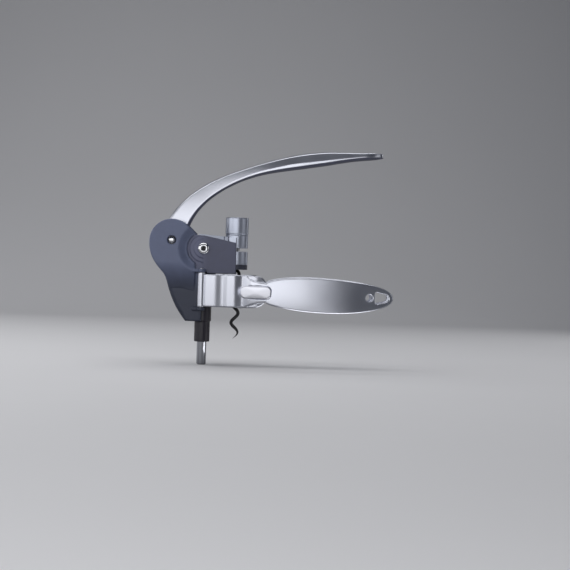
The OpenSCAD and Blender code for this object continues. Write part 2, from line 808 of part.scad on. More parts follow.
module worm_cap() {
    edge = 0.8;
    dish = 0.5;
    top = carriage_top + cap_h;
    color(brushed) difference() {
        union() {
            translate([0, 0, spigot_z]) cylinder(r = worm_collar_bore_r, h = carriage_top - spigot_z + past);
            translate([0, 0, carriage_top]) cylinder(r = cap_r, h = cap_h - edge);
            translate([0, 0, top - edge]) cylinder(r1 = cap_r, r2 = cap_r - edge, h = edge);
        }
        translate([0, 0, top - dish]) cylinder(r1 = cap_r - 3 * edge, r2 = cap_r - 2 * edge, h = dish + 0.01);
    }
}
module thrust_washer(z) {
    color(bronze) tube(head_shank_r + run, head_flange_r, z, z + washer_t);
}
module thrust_washer_lower() { thrust_washer(head_seat); }
module thrust_washer_upper() { thrust_washer(upper_washer_z); }

// Worm: a wire wound to the worm's radius, drawn in to the axis at the top and to a point

function coil_radius(z) = coil_r * (1 - smooth((z - ramp_bottom) / (ramp_top - ramp_bottom)));
function worm_point(z) = [coil_radius(z) * cos(worm_angle(z)), coil_radius(z) * sin(worm_angle(z)), z];
function worm_ring(z) =
    let (
        step = 0.05,
        d = worm_point(z + step) - worm_point(z - step),
        along = d / norm(d),
        out = [cos(worm_angle(z)), sin(worm_angle(z)), 0],
        e1 = let (v = out - along * (out * along)) v / norm(v),
        e2 = cross(along, e1),
        r = wire_r * lerp(0.1, 1, clamp01((z + worm_depth) / worm_taper))
    )
    [for (k = [0:worm_sides - 1])
        worm_point(z) + r * (e1 * cos(360 * k / worm_sides) + e2 * sin(360 * k / worm_sides))];
module worm() {
    turns_end = ramp_bottom - worm_step / 2;
    ramp_steps = 6;
    heights = concat(
        [for (z = [-worm_depth:worm_step:turns_end]) z],
        [for (i = [0:ramp_steps]) lerp(ramp_bottom, ramp_top, i / ramp_steps)],
        [worm_top]
    );
    color(black) loft([for (z = heights) worm_ring(z)]);
}
head_pin_z = lerp(ramp_top, worm_top, 0.5);
module worm_head() {
    color(steel) difference() {
        union() {
            translate([0, 0, head_bottom]) cylinder(r = head_shank_r, h = head_top - head_bottom);
            translate([0, 0, head_flange_z]) cylinder(r = head_flange_r, h = head_flange_t);
        }
        translate([0, 0, head_bottom - past]) cylinder(r = wire_r + run, h = worm_top - head_bottom + past);
        rod_y([0, head_pin_z], 0.5, wire_r, head_shank_r + past);
    }
}
module worm_head_pin() {
    color(steel) rod_y([0, head_pin_z], 0.5, wire_r + run, head_shank_r);
}

// Grips: drawn at the rear and mirrored for the front

function grip_half_height(x) =
    x < neck_x ? grip_neck_h / 2
    : x < widest_x
        ? lerp(grip_neck_h, grip_h, pow(sin(90 * (x - neck_x) / (widest_x - neck_x)), flare_power)) / 2
    : grip_h / 2 * pow(max(1 - pow((x - widest_x) / (grip_tip_x - widest_x), end_power), 0), 1 / end_power);
function grip_mid_z(x) = jaw_mid_z - 0.6 - grip_drop * smooth((x - neck_x) / (flat_x - neck_x));
// Half thickness, fuller at the root and thin at the tip
function grip_half_thickness(x) = grip_t / 2 * lerp(1.2, 0.84, smooth(x / flat_x));
// Ring at t along the plan curve, or past its end at x
function grip_ring_at(at, d, shrink) =
    section(
        [at.x, at.y, grip_mid_z(at.x)], [-d.y, d.x, 0], [0, 0, 1],
        grip_half_thickness(at.x) * shrink, grip_half_height(at.x), grip_sides, grip_power
    );
module grip_handle() {
    along = 22;
    ends = 9;
    loft(concat(
        [for (i = [0:along]) grip_ring_at(bezier(grip_curve, i / along), bezier_dir(grip_curve, i / along), 1)],
        [for (i = [1:ends])
            let (a = 88 * i / ends, x = lerp(flat_x, grip_tip_x, sin(a)))
            grip_ring_at([x, grip_end_y(x)], lean_dir, lerp(0.5, 1, cos(a)))]
    ));
}
// Middle of the handle's straight end, and a place on it turned to lie in it
function grip_end_y(x) = grip_y - (x - flat_x) * tan(grip_lean);
module on_grip_end(x) {
    translate([x, grip_end_y(x), 0]) rotate([0, 0, -grip_lean]) translate([-x, 0, 0]) children();
}
// Strip of the plan between two offsets from the handle's middle, over part of its curve
module grip_strip(off0, off1, t0, t1) {
    n = 12;
    function shifted(t, off) =
        let (d = bezier_dir(grip_curve, t)) bezier(grip_curve, t) + off * [-d.y, d.x];
    polygon(concat(
        [for (i = [0:n]) shifted(lerp(t0, t1, i / n), off0)],
        [for (i = [n:-1:0]) shifted(lerp(t0, t1, i / n), off1)]
    ));
}
// Outline of the jaw and its wings in X and Z: full height, then drawn in to the neck
module jaw_outline() {
    wing_x = 11;
    steps = 10;
    upper = [
        for (i = [0:steps])
            let (a = 90 * i / steps)
            [lerp(wing_x, neck_x + 1, sin(a)), lerp(jaw_mid_z + grip_neck_h / 2 - 1, 0, cos(a))]
    ];
    polygon(concat(
        [[hinge_x - barrel_r, 0]], upper,
        [for (i = [steps:-1:0]) [upper[i].x, -jaw_h - upper[i].y]],
        [[hinge_x - barrel_r, -jaw_h]]
    ));
}
module inlay_solid(low, high) {
    z = grip_mid_z(0);
    intersection() {
        slab(0, 2 * jaw_out_r) union() {
            for (x = [inlay_x + inlay_h / 2, inlay_x + inlay_len - inlay_h / 2]) translate([x, z]) circle(r = inlay_h / 2);
            translate([inlay_x + inlay_h / 2, z - inlay_h / 2]) square([inlay_len - inlay_h, inlay_h]);
        }
        translate([0, 0, -jaw_h]) linear_extrude(jaw_h) grip_strip(low, high, 0, 0.6);
    }
}
inlay_seat = grip_half_thickness(inlay_x + inlay_len / 2) - inlay_depth;
module loop_outline() {
    z = grip_mid_z(loop_x);
    end_r = loop_w / 3;
    hull() {
        for (s = [-1, 1]) translate([loop_x + 1.2, z + s * (loop_w / 2 - 1.2)]) circle(r = 1.2, $fn = 32);
        translate([loop_x + loop_len - end_r, z]) circle(r = end_r, $fn = 32);
    }
}
module grip_rear_side() {
    hang_z = grip_mid_z(hang_x);
    hang_half = grip_half_thickness(hang_x);
    eye_r = hang_r + loop_gap - 0.3;
    difference() {
        union() {
            translate([hinge_x, hinge_y, barrel_bottom]) cylinder(r = barrel_r, h = barrel_top - barrel_bottom);
            intersection() {
                slab(0, 2 * jaw_out_r) jaw_outline();
                union() {
                    // Bulge between the hinge and the round of the jaw
                    intersection() {
                        translate([bulge.x, bulge.y, -jaw_h]) cylinder(r = bulge_r, h = jaw_h);
                        box([hinge_x, hinge_y - 1.4, -jaw_h], [bulge.x + bulge_r, 2 * jaw_out_r, 0]);
                    }
                    // Round of the jaw
                    intersection() {
                        translate([0, 0, -jaw_h]) cylinder(r = jaw_out_r, h = jaw_h);
                        translate([0, 0, -jaw_h]) linear_extrude(jaw_h) polygon([
                            [0, 0], 3 * jaw_out_r * [cos(jaw_end_angle), sin(jaw_end_angle)],
                            [2 * jaw_out_r, 2 * jaw_out_r], [-2 * jaw_out_r, 2 * jaw_out_r],
                            3 * jaw_out_r * [cos(jaw_start_angle), sin(jaw_start_angle)]
                        ]);
                    }
                    // Wings beside the root of the handle
                    translate([0, 0, -jaw_h]) linear_extrude(jaw_h)
                        grip_strip(-grip_t / 2, grip_t / 6, 0, 0.42);
                }
            }
            grip_handle();
            on_grip_end(hang_x) rod_y([hang_x, hang_z], eye_r, -hang_half, hang_half);
        }
        translate([0, 0, -jaw_h - past]) cylinder(r = jaw_in_r, h = jaw_h + 2 * past);
        translate([hinge_x, hinge_y, barrel_bottom - past])
            cylinder(r = hinge_pin_r + run, h = barrel_top - barrel_bottom + 2 * past);
        on_grip_end(hang_x) rod_y([hang_x, hang_z], hang_r, -grip_t, grip_t);
        on_grip_end(hang_x) slab(-grip_t, grip_t) loop_outline();
        inlay_solid(inlay_seat, inlay_seat + 2 * grip_t);
    }
}
module rear_grip() { color(satin) grip_rear_side(); }
module front_grip() { color(satin) mirror([0, 1, 0]) grip_rear_side(); }
module pad_rear_side() {
    intersection() {
        tube(neck_r, jaw_in_r, -jaw_h + 1, -1);
        translate([0, 0, -jaw_h]) linear_extrude(jaw_h) polygon([
            [0, 0], 3 * jaw_out_r * [cos(pad_end_angle), sin(pad_end_angle)],
            [2 * jaw_out_r, 2 * jaw_out_r], [-2 * jaw_out_r, 2 * jaw_out_r],
            3 * jaw_out_r * [cos(pad_start_angle), sin(pad_start_angle)]
        ]);
    }
}
module rear_jaw_pad() { color(black) pad_rear_side(); }
module front_jaw_pad() { color(black) mirror([0, 1, 0]) pad_rear_side(); }
module rear_grip_inlay() { color(satin) inlay_solid(inlay_seat, inlay_seat + inlay_depth + inlay_rise); }
module front_grip_inlay() {
    color(satin) mirror([0, 1, 0]) inlay_solid(inlay_seat, inlay_seat + inlay_depth + inlay_rise);
}

frame_cheek_front();
frame_cheek_rear();
frame_spine();
frame_screws();
lever_pivot_pin();
pivot_spacers();
guide_sleeve();
rod_bush_upper();
rod_bush_lower();
nut_carrier();
nut_collar();
worm_nut();
hinge_pin_front();
hinge_pin_rear();
lever_arm();
lever_gear_front();
lever_gear_rear();
lever_bush();
lever_rivets();
carriage_rack_front();
carriage_rack_rear();
carriage_plate_front();
carriage_plate_rear();
carriage_bridge();
carriage_dowels();
guide_rod();
rod_cross_rivet();
worm_collar();
worm_cap();
thrust_washer_lower();
thrust_washer_upper();
worm();
worm_head();
worm_head_pin();
front_grip();
front_jaw_pad();
front_grip_inlay();
rear_grip();
rear_jaw_pad();
rear_grip_inlay();
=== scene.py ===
import json
import bpy
import numpy as np
from mathutils import Matrix, Vector


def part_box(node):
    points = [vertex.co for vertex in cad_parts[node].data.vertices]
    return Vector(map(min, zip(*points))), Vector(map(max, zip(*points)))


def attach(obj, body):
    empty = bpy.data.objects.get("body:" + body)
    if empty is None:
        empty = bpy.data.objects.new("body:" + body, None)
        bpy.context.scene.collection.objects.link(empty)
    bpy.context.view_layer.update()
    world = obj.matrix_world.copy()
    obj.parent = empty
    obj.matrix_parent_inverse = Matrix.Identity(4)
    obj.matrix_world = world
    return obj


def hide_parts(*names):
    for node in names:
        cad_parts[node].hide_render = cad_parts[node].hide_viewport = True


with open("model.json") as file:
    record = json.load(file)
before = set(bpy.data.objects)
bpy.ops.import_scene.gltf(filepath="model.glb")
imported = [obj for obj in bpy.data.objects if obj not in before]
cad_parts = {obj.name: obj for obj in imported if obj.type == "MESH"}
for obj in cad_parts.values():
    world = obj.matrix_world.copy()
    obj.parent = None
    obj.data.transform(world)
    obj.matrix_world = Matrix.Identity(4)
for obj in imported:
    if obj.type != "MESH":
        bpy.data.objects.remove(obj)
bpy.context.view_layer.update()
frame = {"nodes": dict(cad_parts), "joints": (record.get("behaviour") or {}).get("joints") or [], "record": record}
nodes = frame["nodes"]
record = frame["record"]

MM = 0.001


def in_mm(metres):
    """Lengths in millimetres, to a thousandth."""
    return np.round(np.array(metres, float) / MM, 3)


def heights(node):
    """Lowest and highest place of a CAD node."""
    return [in_mm(corner)[2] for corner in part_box(node)]


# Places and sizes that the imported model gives, in millimetres
joint_place = {joint["name"]: in_mm(joint["pos_m"]) for joint in frame["joints"] if "pos_m" in joint}
hang_mount = next(mount for mount in record["mounts"] if mount["name"] == "rear_hang_hole")
PIVOT = joint_place["lever_pivot"][[0, 2]]
HINGE = joint_place["rear_grip_hinge"][:2]
HANG_HOLE = in_mm(hang_mount["pos_m"])[[0, 2]]
HANG_HOLE_R = hang_mount["dims"]["r_mm"]
TAIL_BOTTOM = heights("frame_cheek_rear")[0]
SLEEVE_BOTTOM, SLEEVE_TOP = heights("guide_sleeve")
ROD_BOTTOM, ROD_TOP = heights("guide_rod")
LOWER_COLLAR_BOTTOM, LOWER_COLLAR_TOP = heights("nut_collar")
UPPER_COLLAR_BOTTOM = heights("worm_collar")[0]
CAP_TOP = heights("worm_cap")[1]

# Main places and sizes of the visible skins, in millimetres
HUB = PIVOT - (0, 1)
HUB_R = 17.6
HUB_TIP = (-31.5, 30.8)
RIVET = np.array((-25.5, 19.4))
ROD_X = RIVET[0]
ROD_R = 3.75
BAY_R = 12.9
WALL_IN = 7.0
CHEEK_IN = 10.5
CHEEK_OUT = 14.0
PLATE_FACE = 10.2
HINGE_R = 3.0
COLLAR_R = 8.9
COLLAR_BORE = 7.0
BELLY_CURVE = np.array((HUB - (HUB_R, 0), (-68.0, 12.5), (-63.4, 7.4), (-56.5, -0.7)))
TAIL_CURVE = np.array(((-56.5, -0.7), (-52.4, -6.2), (-53.2, -20.5), (-38.6, TAIL_BOTTOM)))
LEVER_CURVE = np.array(((-46.01, 38.9), (-27.21, 78.9), (38.0, 93.4), (114.0, 96.9)))
GRIP_LEAN = np.radians(12)
GRIP_CURVE = np.array(((3.0, 18.0), (30.0, 22.0), (70.66, 21.44), (100.0, 15.2)))


# Curves and steps

def smooth(t):
    """Cubic step 3 t^2 - 2 t^3, with t held between 0 and 1."""
    u = np.clip(t, 0, 1)
    return u * u * (3 - 2 * u)


def mix(a, b, t):
    """Straight blend from a to b."""
    return a + (b - a) * t


def steps_through(x, keys):
    """Value at x through listed (x, value) keys, with a cubic step from each key to the next."""
    at, value = np.array(keys, float).T
    i = np.clip(np.searchsorted(at, x) - 1, 0, len(at) - 2)
    return mix(value[i], value[i + 1], smooth((x - at[i]) / (at[i + 1] - at[i])))


def bezier(p, t):
    """Cubic curve with four control points: the sum of the Bernstein weights times the points."""
    t = np.asarray(t, float)[..., None]
    return (1 - t) ** 3 * p[0] + 3 * (1 - t) ** 2 * t * p[1] + 3 * (1 - t) * t ** 2 * p[2] + t ** 3 * p[3]


def bezier_direction(p, t):
    """Unit direction of that curve, from its derivative."""
    t = np.asarray(t, float)[..., None]
    d = (1 - t) ** 2 * (p[1] - p[0]) + 2 * (1 - t) * t * (p[2] - p[1]) + t ** 2 * (p[3] - p[2])
    return d / np.linalg.norm(d, axis=-1, keepdims=True)


def arc(centre, radii, start, stop, count, whole=True):
    """Points (cos a, sin a) times the radii about a centre, with the angle a from start to stop in degrees.
    The last point is left out where whole is false."""
    a = np.radians(np.linspace(start, stop, count, endpoint=whole))
    return np.array(centre) + np.array(radii) * np.stack([np.cos(a), np.sin(a)], 1)


def soft_corners(corners, radii, steps=5):
    """Open profiles (rows, corners, 2) with each inner corner c replaced by the curve
    (1-t)^2 a + 2 t (1-t) c + t^2 b, where a and b lie on the two sides at the corner's radius."""
    c = corners[:, 1:-1]
    to_before, to_after = corners[:, :-2] - c, corners[:, 2:] - c
    share = [
        np.minimum(np.asarray(radii)[:, None] / np.linalg.norm(d, axis=-1, keepdims=True), 0.48)
        for d in (to_before, to_after)
    ]
    a = (c + to_before * share[0])[:, :, None]
    b = (c + to_after * share[1])[:, :, None]
    t = np.linspace(0, 1, steps + 1)[:, None]
    bends = (1 - t) ** 2 * a + 2 * t * (1 - t) * c[:, :, None] + t * t * b
    return np.concatenate([corners[:, :1], bends.reshape(len(corners), -1, 2), corners[:, -1:]], 1)


def rounded(corners, radii):
    """One open profile with its inner corners rounded in that way."""
    return soft_corners(np.array([corners], float), radii)[0]


def both_ends(profile):
    """Profile (radius, height) of a pin's upper end, followed by its mirror image at the lower end."""
    return np.vstack([profile, (profile * (1, -1))[::-1]])


# Solids as fields: less than zero inside, about the distance in millimetres near the skin

def both(a, b, r):
    """Where two solids overlap, with the edge between them rounded to radius r."""
    u = a + r
    w = b + r
    return np.minimum(np.maximum(u, w), 0) + np.hypot(np.maximum(u, 0), np.maximum(w, 0)) - r


def either(a, b, r):
    """Two solids joined, with a fillet of radius r in the corner between them."""
    return -both(-a, -b, r)


def less(a, b, r):
    """The first solid without the second, with the new edge rounded to radius r."""
    return both(a, -b, r)


def layer(v, low, high):
    """Distance to the layer between two places along one direction."""
    return np.maximum(low - v, v - high)


def outline_distance(x, z, corners):
    """Distance to a closed outline: the nearest of its sides, less than zero where a line to the
    right crosses an odd number of sides."""
    x, z = np.broadcast_arrays(x, z)
    near = np.full(x.shape, 1e9)
    inside = np.zeros(x.shape, bool)
    for (ax, az), (bx, bz) in zip(corners, np.roll(corners, -1, axis=0)):
        ex, ez = bx - ax, bz - az
        t = np.clip(((x - ax) * ex + (z - az) * ez) / (ex * ex + ez * ez), 0, 1)
        near = np.minimum(near, (x - ax - t * ex) ** 2 + (z - az - t * ez) ** 2)
        crossed = (az > z) != (bz > z)
        inside ^= crossed & (x < ax + ex * (z - az) / (ez if ez else 1e-9))
    return np.where(inside, -1, 1) * np.sqrt(near)


def field_skin(field, low, high, step, rounds=6, reach=0.02):
    """Skin of a field. Each grid cell that the skin crosses gets one point, at the mean of the crossings on
    the cell's edges, moved down the field's slope onto zero in a few rounds. Each grid edge that the skin
    crosses gets one face, through the four cells round it."""
    axes = [np.arange(a, b + step, step) for a, b in zip(low, high)]
    value = field(axes[0][:, None, None], axes[1][None, :, None], axes[2][None, None, :])
    value = np.broadcast_to(value, tuple(len(a) for a in axes))
    inside = value < 0
    size = np.array(value.shape) - 1
    corners = np.array(np.meshgrid((0, 1), (0, 1), (0, 1), indexing="ij")).reshape(3, 8).T
    count = sum(
        inside[a:size[0] + a, b:size[1] + b, c:size[2] + c].astype(np.int8) for a, b, c in corners
    )
    cells = np.argwhere((count > 0) & (count < 8))
    index = np.full(tuple(size), -1)
    index[tuple(cells.T)] = np.arange(len(cells))
    total = np.zeros((len(cells), 3))
    hits = np.zeros((len(cells), 1))
    for a in corners:
        for axis in np.flatnonzero(a == 0):
            b = a.copy()
            b[axis] = 1
            va = value[tuple((cells + a).T)]
            vb = value[tuple((cells + b).T)]
            crossed = ((va < 0) != (vb < 0))[:, None]
            t = (va / np.where(va == vb, 1, va - vb))[:, None]
            total += crossed * (a + t * (b - a))
            hits += crossed
    points = np.array(low) + step * (cells + total / hits)
    faces = []
    for axis in range(3):
        across = np.eye(3, dtype=int)[[(axis + 1) % 3, (axis + 2) % 3]]
        here = np.moveaxis(inside, axis, 0)
        edge = np.argwhere(np.moveaxis(here[:-1] != here[1:], 0, axis))
        outward = inside[tuple(edge.T)]
        ring = [index[tuple((edge - across.T @ shift).T)] for shift in ((0, 0), (1, 0), (1, 1), (0, 1))]
        quads = np.stack(ring, 1)
        faces.append(np.where(outward[:, None], quads, quads[:, ::-1]))
    shifts = np.eye(3) * reach
    for _ in range(rounds):
        slope = np.stack(
            [(field(*(points + s).T) - field(*(points - s).T)) / (2 * reach) for s in shifts], 1
        )
        move = field(*points.T)[:, None] * slope / np.maximum((slope ** 2).sum(1, keepdims=True), 0.1)
        points = points - np.clip(move, -step / 2, step / 2)
    return points, faces


# Grids of points

def skin(grid, loop=False):
    """Faces over a grid (rows, columns, 3) whose columns close round. The rows close too where loop
    is true, and otherwise a fan to the middle of each end row closes the ends."""
    rows, columns = grid.shape[:2]
    points = grid.reshape(-1, 3)
    i, k = np.meshgrid(np.arange(rows if loop else rows - 1), np.arange(columns), indexing="ij")
    i, k = i.ravel(), k.ravel()
    up, on = (i + 1) % rows, (k + 1) % columns
    faces = [np.stack([i * columns + k, i * columns + on, up * columns + on, up * columns + k], 1)]
    if not loop:
        k = np.arange(columns)
        on = (k + 1) % columns
        middle = np.full(columns, len(points))
        last = (rows - 1) * columns
        faces += [np.stack([middle, on, k], 1), np.stack([middle + 1, last + k, last + on], 1)]
        points = np.vstack([points, grid[0].mean(0), grid[-1].mean(0)])
    return points, faces


def turned(profile, around, at=(0.0, 0.0), axis="z", loop=False):
    """Profile of (radius, height) carried once round an axis: (r cos a, r sin a) across the axis and
    the height along it. An axis along y runs through at = (x, z), one along z through (x, y)."""
    a = np.linspace(0, 2 * np.pi, around, endpoint=False)
    r, h = np.asarray(profile, float).T
    u = at[0] + r[:, None] * np.cos(a)
    v = at[1] + r[:, None] * np.sin(a)
    w = np.broadcast_to(h[:, None], u.shape)
    return skin(np.stack([u, w, v] if axis == "y" else [u, v, w], -1), loop)


# Finishes: effects that several materials share

def link(tree, start, end):
    """Joins an output to an input."""
    tree.links.new(start, end)


def new_group(name, inputs, outputs):
    """Empty shader node group with number inputs, given with their usual values, and number outputs."""
    tree = bpy.data.node_groups.new(name, "ShaderNodeTree")
    for label, value in inputs.items():
        socket = tree.interface.new_socket(name=label, in_out="INPUT", socket_type="NodeSocketFloat")
        socket.default_value = value
    for label in outputs:
        tree.interface.new_socket(name=label, in_out="OUTPUT", socket_type="NodeSocketFloat")
    return tree, tree.nodes.new("NodeGroupInput"), tree.nodes.new("NodeGroupOutput")


def object_place(tree):
    """Place on the piece, in its object's coordinates."""
    return tree.nodes.new("ShaderNodeTexCoord").outputs["Object"]


def noise(tree, where, detail):
    """Noise of scale 1 at a place."""
    node = tree.nodes.new("ShaderNodeTexNoise")
    node.inputs["Detail"].default_value = detail
    node.inputs["Scale"].default_value = 1.0
    link(tree, where, node.inputs["Vector"])
    return node


def spread(tree, value, low, high, out):
    """Puts out a noise of about 0.3 to 0.7, spread from low to high."""
    node = tree.nodes.new("ShaderNodeMapRange")
    node.inputs["From Min"].default_value = 0.3
    node.inputs["From Max"].default_value = 0.7
    for start, label in ((value, "Value"), (low, "To Min"), (high, "To Max")):
        link(tree, start, node.inputs[label])
    link(tree, node.outputs["Result"], out)


def put_out(tree, given, out, change, height):
    """Roughness and shade that follow one noise between the group's limits, and the height from another."""
    spread(tree, change, given.outputs["Smoothest"], given.outputs["Roughest"], out.inputs["Roughness"])
    spread(tree, change, given.outputs["Dull"], given.outputs["Bright"], out.inputs["Shade"])
    link(tree, height, out.inputs["Height"])


def make_grain():
    """Fine grain of a cast or coated skin: a broad noise moves the roughness and the shade a little,
    and a fine noise gives the height."""
    tree, given, out = new_group(
        "cast_grain",
        {"Fine": 2600.0, "Broad": 90.0, "Smoothest": 0.2, "Roughest": 0.3, "Dull": 0.94, "Bright": 1.04},
        ("Roughness", "Shade", "Height"),
    )
    where = object_place(tree)
    broad = noise(tree, where, 5.0)
    fine = noise(tree, where, 2.0)
    link(tree, given.outputs["Broad"], broad.inputs["Scale"])
    link(tree, given.outputs["Fine"], fine.inputs["Scale"])
    put_out(tree, given, out, broad.outputs["Fac"], fine.outputs["Fac"])
    return tree


def make_lines():
    """Fine lines left by turning or drawing, and broad painted reflection streaks where the lines are wide: noise
    stretched along one or two directions and tight across the others."""
    tree, given, out = new_group(
        "tool_lines_and_painted_streaks",
        {"Along X": 60.0, "Along Y": 60.0, "Along Z": 5000.0, "Smoothest": 0.16, "Roughest": 0.3,
         "Dull": 0.86, "Bright": 1.08},
        ("Roughness", "Shade", "Height"),
    )
    pull = tree.nodes.new("ShaderNodeVectorMath")
    pull.operation = "MULTIPLY"
    scale = tree.nodes.new("ShaderNodeCombineXYZ")
    for label in "XYZ":
        link(tree, given.outputs["Along " + label], scale.inputs[label])
    link(tree, object_place(tree), pull.inputs[0])
    link(tree, scale.outputs["Vector"], pull.inputs[1])
    streak = noise(tree, pull.outputs["Vector"], 4.0).outputs["Fac"]
    put_out(tree, given, out, streak, streak)
    return tree


def make_fade():
    """Slow change of shade along a direction: as the place along it, in metres, goes from start to end, the
    shade goes smoothly from low to high."""
    tree, given, out = new_group(
        "slow_fade",
        {"Along X": 0.0, "Along Z": 1.0, "Start": -0.015, "End": 0.006, "Low": 0.5, "High": 1.0},
        ("Shade",),
    )
    way = tree.nodes.new("ShaderNodeCombineXYZ")
    for label in "XZ":
        link(tree, given.outputs["Along " + label], way.inputs[label])
    place = tree.nodes.new("ShaderNodeVectorMath")
    place.operation = "DOT_PRODUCT"
    link(tree, object_place(tree), place.inputs[0])
    link(tree, way.outputs["Vector"], place.inputs[1])
    turn = tree.nodes.new("ShaderNodeMapRange")
    turn.interpolation_type = "SMOOTHSTEP"
    link(tree, place.outputs["Value"], turn.inputs["Value"])
    for start, end in (("Start", "From Min"), ("End", "From Max"), ("Low", "To Min"), ("High", "To Max")):
        link(tree, given.outputs[start], turn.inputs[end])
    link(tree, turn.outputs["Result"], out.inputs["Shade"])
    return tree


grain_group = make_grain()
lines_group = make_lines()
fade_group = make_fade()
finishes = {}

RELIEF_DEPTH = 0.00002
COAT_ROUGHNESS = 0.3


def place_group(tree, group, values):
    """Node of a shared effect, with its own values."""
    node = tree.nodes.new("ShaderNodeGroup")
    node.node_tree = group
    for label, value in values.items():
        node.inputs[label].default_value = value
    return node


def finish(name, colour, effect, values, metallic=0.0, bump=0.1, coat=0.0, fade=None):
    """Material whose colour is shaded and whose roughness and bump come from one of the shared effects."""
    material = bpy.data.materials.new(name)
    material.use_nodes = True
    tree = material.node_tree
    shader = tree.nodes["Principled BSDF"]
    shader.inputs["Metallic"].default_value = metallic
    shader.inputs["Coat Weight"].default_value = coat
    shader.inputs["Coat Roughness"].default_value = COAT_ROUGHNESS
    look = place_group(tree, effect, values)
    shade = look.outputs["Shade"]
    if fade:
        product = tree.nodes.new("ShaderNodeMath")
        product.operation = "MULTIPLY"
        link(tree, shade, product.inputs[0])
        link(tree, place_group(tree, fade_group, fade).outputs["Shade"], product.inputs[1])
        shade = product.outputs["Value"]
    tint = tree.nodes.new("ShaderNodeVectorMath")
    tint.operation = "SCALE"
    tint.inputs[0].default_value = colour
    link(tree, shade, tint.inputs["Scale"])
    link(tree, tint.outputs["Vector"], shader.inputs["Base Color"])
    link(tree, look.outputs["Roughness"], shader.inputs["Roughness"])
    relief = tree.nodes.new("ShaderNodeBump")
    relief.inputs["Strength"].default_value = bump
    relief.inputs["Distance"].default_value = RELIEF_DEPTH
    link(tree, look.outputs["Height"], relief.inputs["Height"])
    link(tree, relief.outputs["Normal"], shader.inputs["Normal"])
    finishes[name] = material
    return material


# Silver and chrome
CAST_GRAIN = {"Fine": 3200.0, "Broad": 60.0, "Smoothest": 0.285, "Dull": 0.97, "Bright": 1.02}
finish(
    "satin_silver", (0.74, 0.76, 0.84), grain_group, {**CAST_GRAIN, "Roughest": 0.32},
    metallic=1.0, bump=0.02,
)
finish(
    "bright_silver", (0.77, 0.78, 0.85), grain_group, {**CAST_GRAIN, "Roughest": 0.31},
    metallic=1.0, bump=0.02,
)
finish(
    "brushed_silver", (0.6, 0.64, 0.75), lines_group,
    {"Along X": 20.0, "Along Y": 20.0, "Along Z": 900.0, "Smoothest": 0.36, "Roughest": 0.4,
     "Dull": 0.97, "Bright": 1.02},
    metallic=1.0, bump=0.01,
)
finish(
    "chrome", (0.84, 0.85, 0.88), grain_group,
    {"Fine": 900.0, "Broad": 120.0, "Smoothest": 0.05, "Roughest": 0.09},
    metallic=1.0, bump=0.01,
)
# The rod's finish has broad vertical streaks, 0.5 to 1.2 of its colour: painted reflection streaks.
finish(
    "drawn_chrome_painted_streaks", (0.84, 0.86, 0.93), lines_group,
    {"Along X": 420.0, "Along Y": 420.0, "Along Z": 2.0, "Smoothest": 0.06, "Roughest": 0.16,
     "Dull": 0.5, "Bright": 1.2},
    metallic=1.0, bump=0.03,
)

# Paint
PAINT_GRAIN = {
    "Fine": 4200.0, "Broad": 110.0, "Smoothest": 0.38, "Roughest": 0.5, "Dull": 0.9, "Bright": 1.1,
}
# The fade paints shade on the cheeks: their colour falls to 0.29 of itself from z 8 mm down to z -16 mm, so the
# tail below the hub is darker.
finish(
    "slate_paint", (0.16, 0.188, 0.3), grain_group, PAINT_GRAIN, metallic=0.25, bump=0.22, coat=0.15,
    fade={"Start": -0.016, "End": 0.008, "Low": 0.29},
)
finish(
    "block_paint", (0.112, 0.12, 0.185), grain_group, PAINT_GRAIN, metallic=0.25, bump=0.22, coat=0.12,
    fade={"Along X": 1.0, "Along Z": 0.0, "Start": -0.031, "End": -0.021, "Low": 1.5},
)
finish(
    "dark_slate_paint", (0.07, 0.075, 0.105), grain_group, PAINT_GRAIN, metallic=0.25, bump=0.22, coat=0.12,
)

# Black plastic, coating and rubber
finish(
    "black_plastic", (0.028, 0.025, 0.036), grain_group,
    {"Fine": 2000.0, "Broad": 140.0, "Smoothest": 0.285, "Roughest": 0.32},
    bump=0.02, coat=0.1,
)
finish(
    "black_coating", (0.022, 0.022, 0.025), grain_group,
    {"Fine": 3000.0, "Broad": 300.0, "Smoothest": 0.42, "Roughest": 0.56, "Dull": 0.8, "Bright": 1.25},
    bump=0.2,
)
finish(
    "soft_pad", (0.02, 0.02, 0.022), grain_group,
    {"Fine": 1500.0, "Broad": 200.0, "Smoothest": 0.62, "Roughest": 0.78},
    bump=0.3,
)

# Plain metals of the inner pieces
finish(
    "steel", (0.5, 0.51, 0.54), lines_group,
    {"Along X": 900.0, "Along Y": 4000.0, "Along Z": 900.0, "Smoothest": 0.25, "Roughest": 0.42},
    metallic=1.0, bump=0.1,
)
finish(
    "bronze", (0.5, 0.36, 0.19), lines_group,
    {"Along X": 90.0, "Along Y": 90.0, "Along Z": 4000.0, "Smoothest": 0.28, "Roughest": 0.45},
    metallic=1.0, bump=0.1,
)


# Pieces

def six_volumes(points, faces):
    """Six times the volume: the sum of the triple products of the faces' triangles."""
    total = 0.0
    for group in faces:
        p = points[group]
        for k in range(1, group.shape[1] - 1):
            total += np.einsum("ij,ij->", p[:, 0], np.cross(p[:, k], p[:, k + 1]))
    return total


def dress(name, shape, body, replaced, slot, sharp=55, finish_name=None):
    """Makes a piece of points in millimetres and groups of faces, with its faces outwards, in place of a CAD
    node. Its finish is the slot's, unless another is named."""
    points, faces = shape
    if six_volumes(points, faces) < 0:
        faces = [group[:, ::-1] for group in faces]
    mesh = bpy.data.meshes.new(name)
    mesh.from_pydata((points * MM).tolist(), [], sum((group.tolist() for group in faces), []))
    mesh.shade_smooth()
    mesh.set_sharp_from_angle(angle=np.radians(sharp))
    mesh.materials.append(finishes[finish_name or slot])
    piece = bpy.data.objects.new(name, mesh)
    bpy.context.scene.collection.objects.link(piece)
    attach(piece, body)
    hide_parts(replaced)


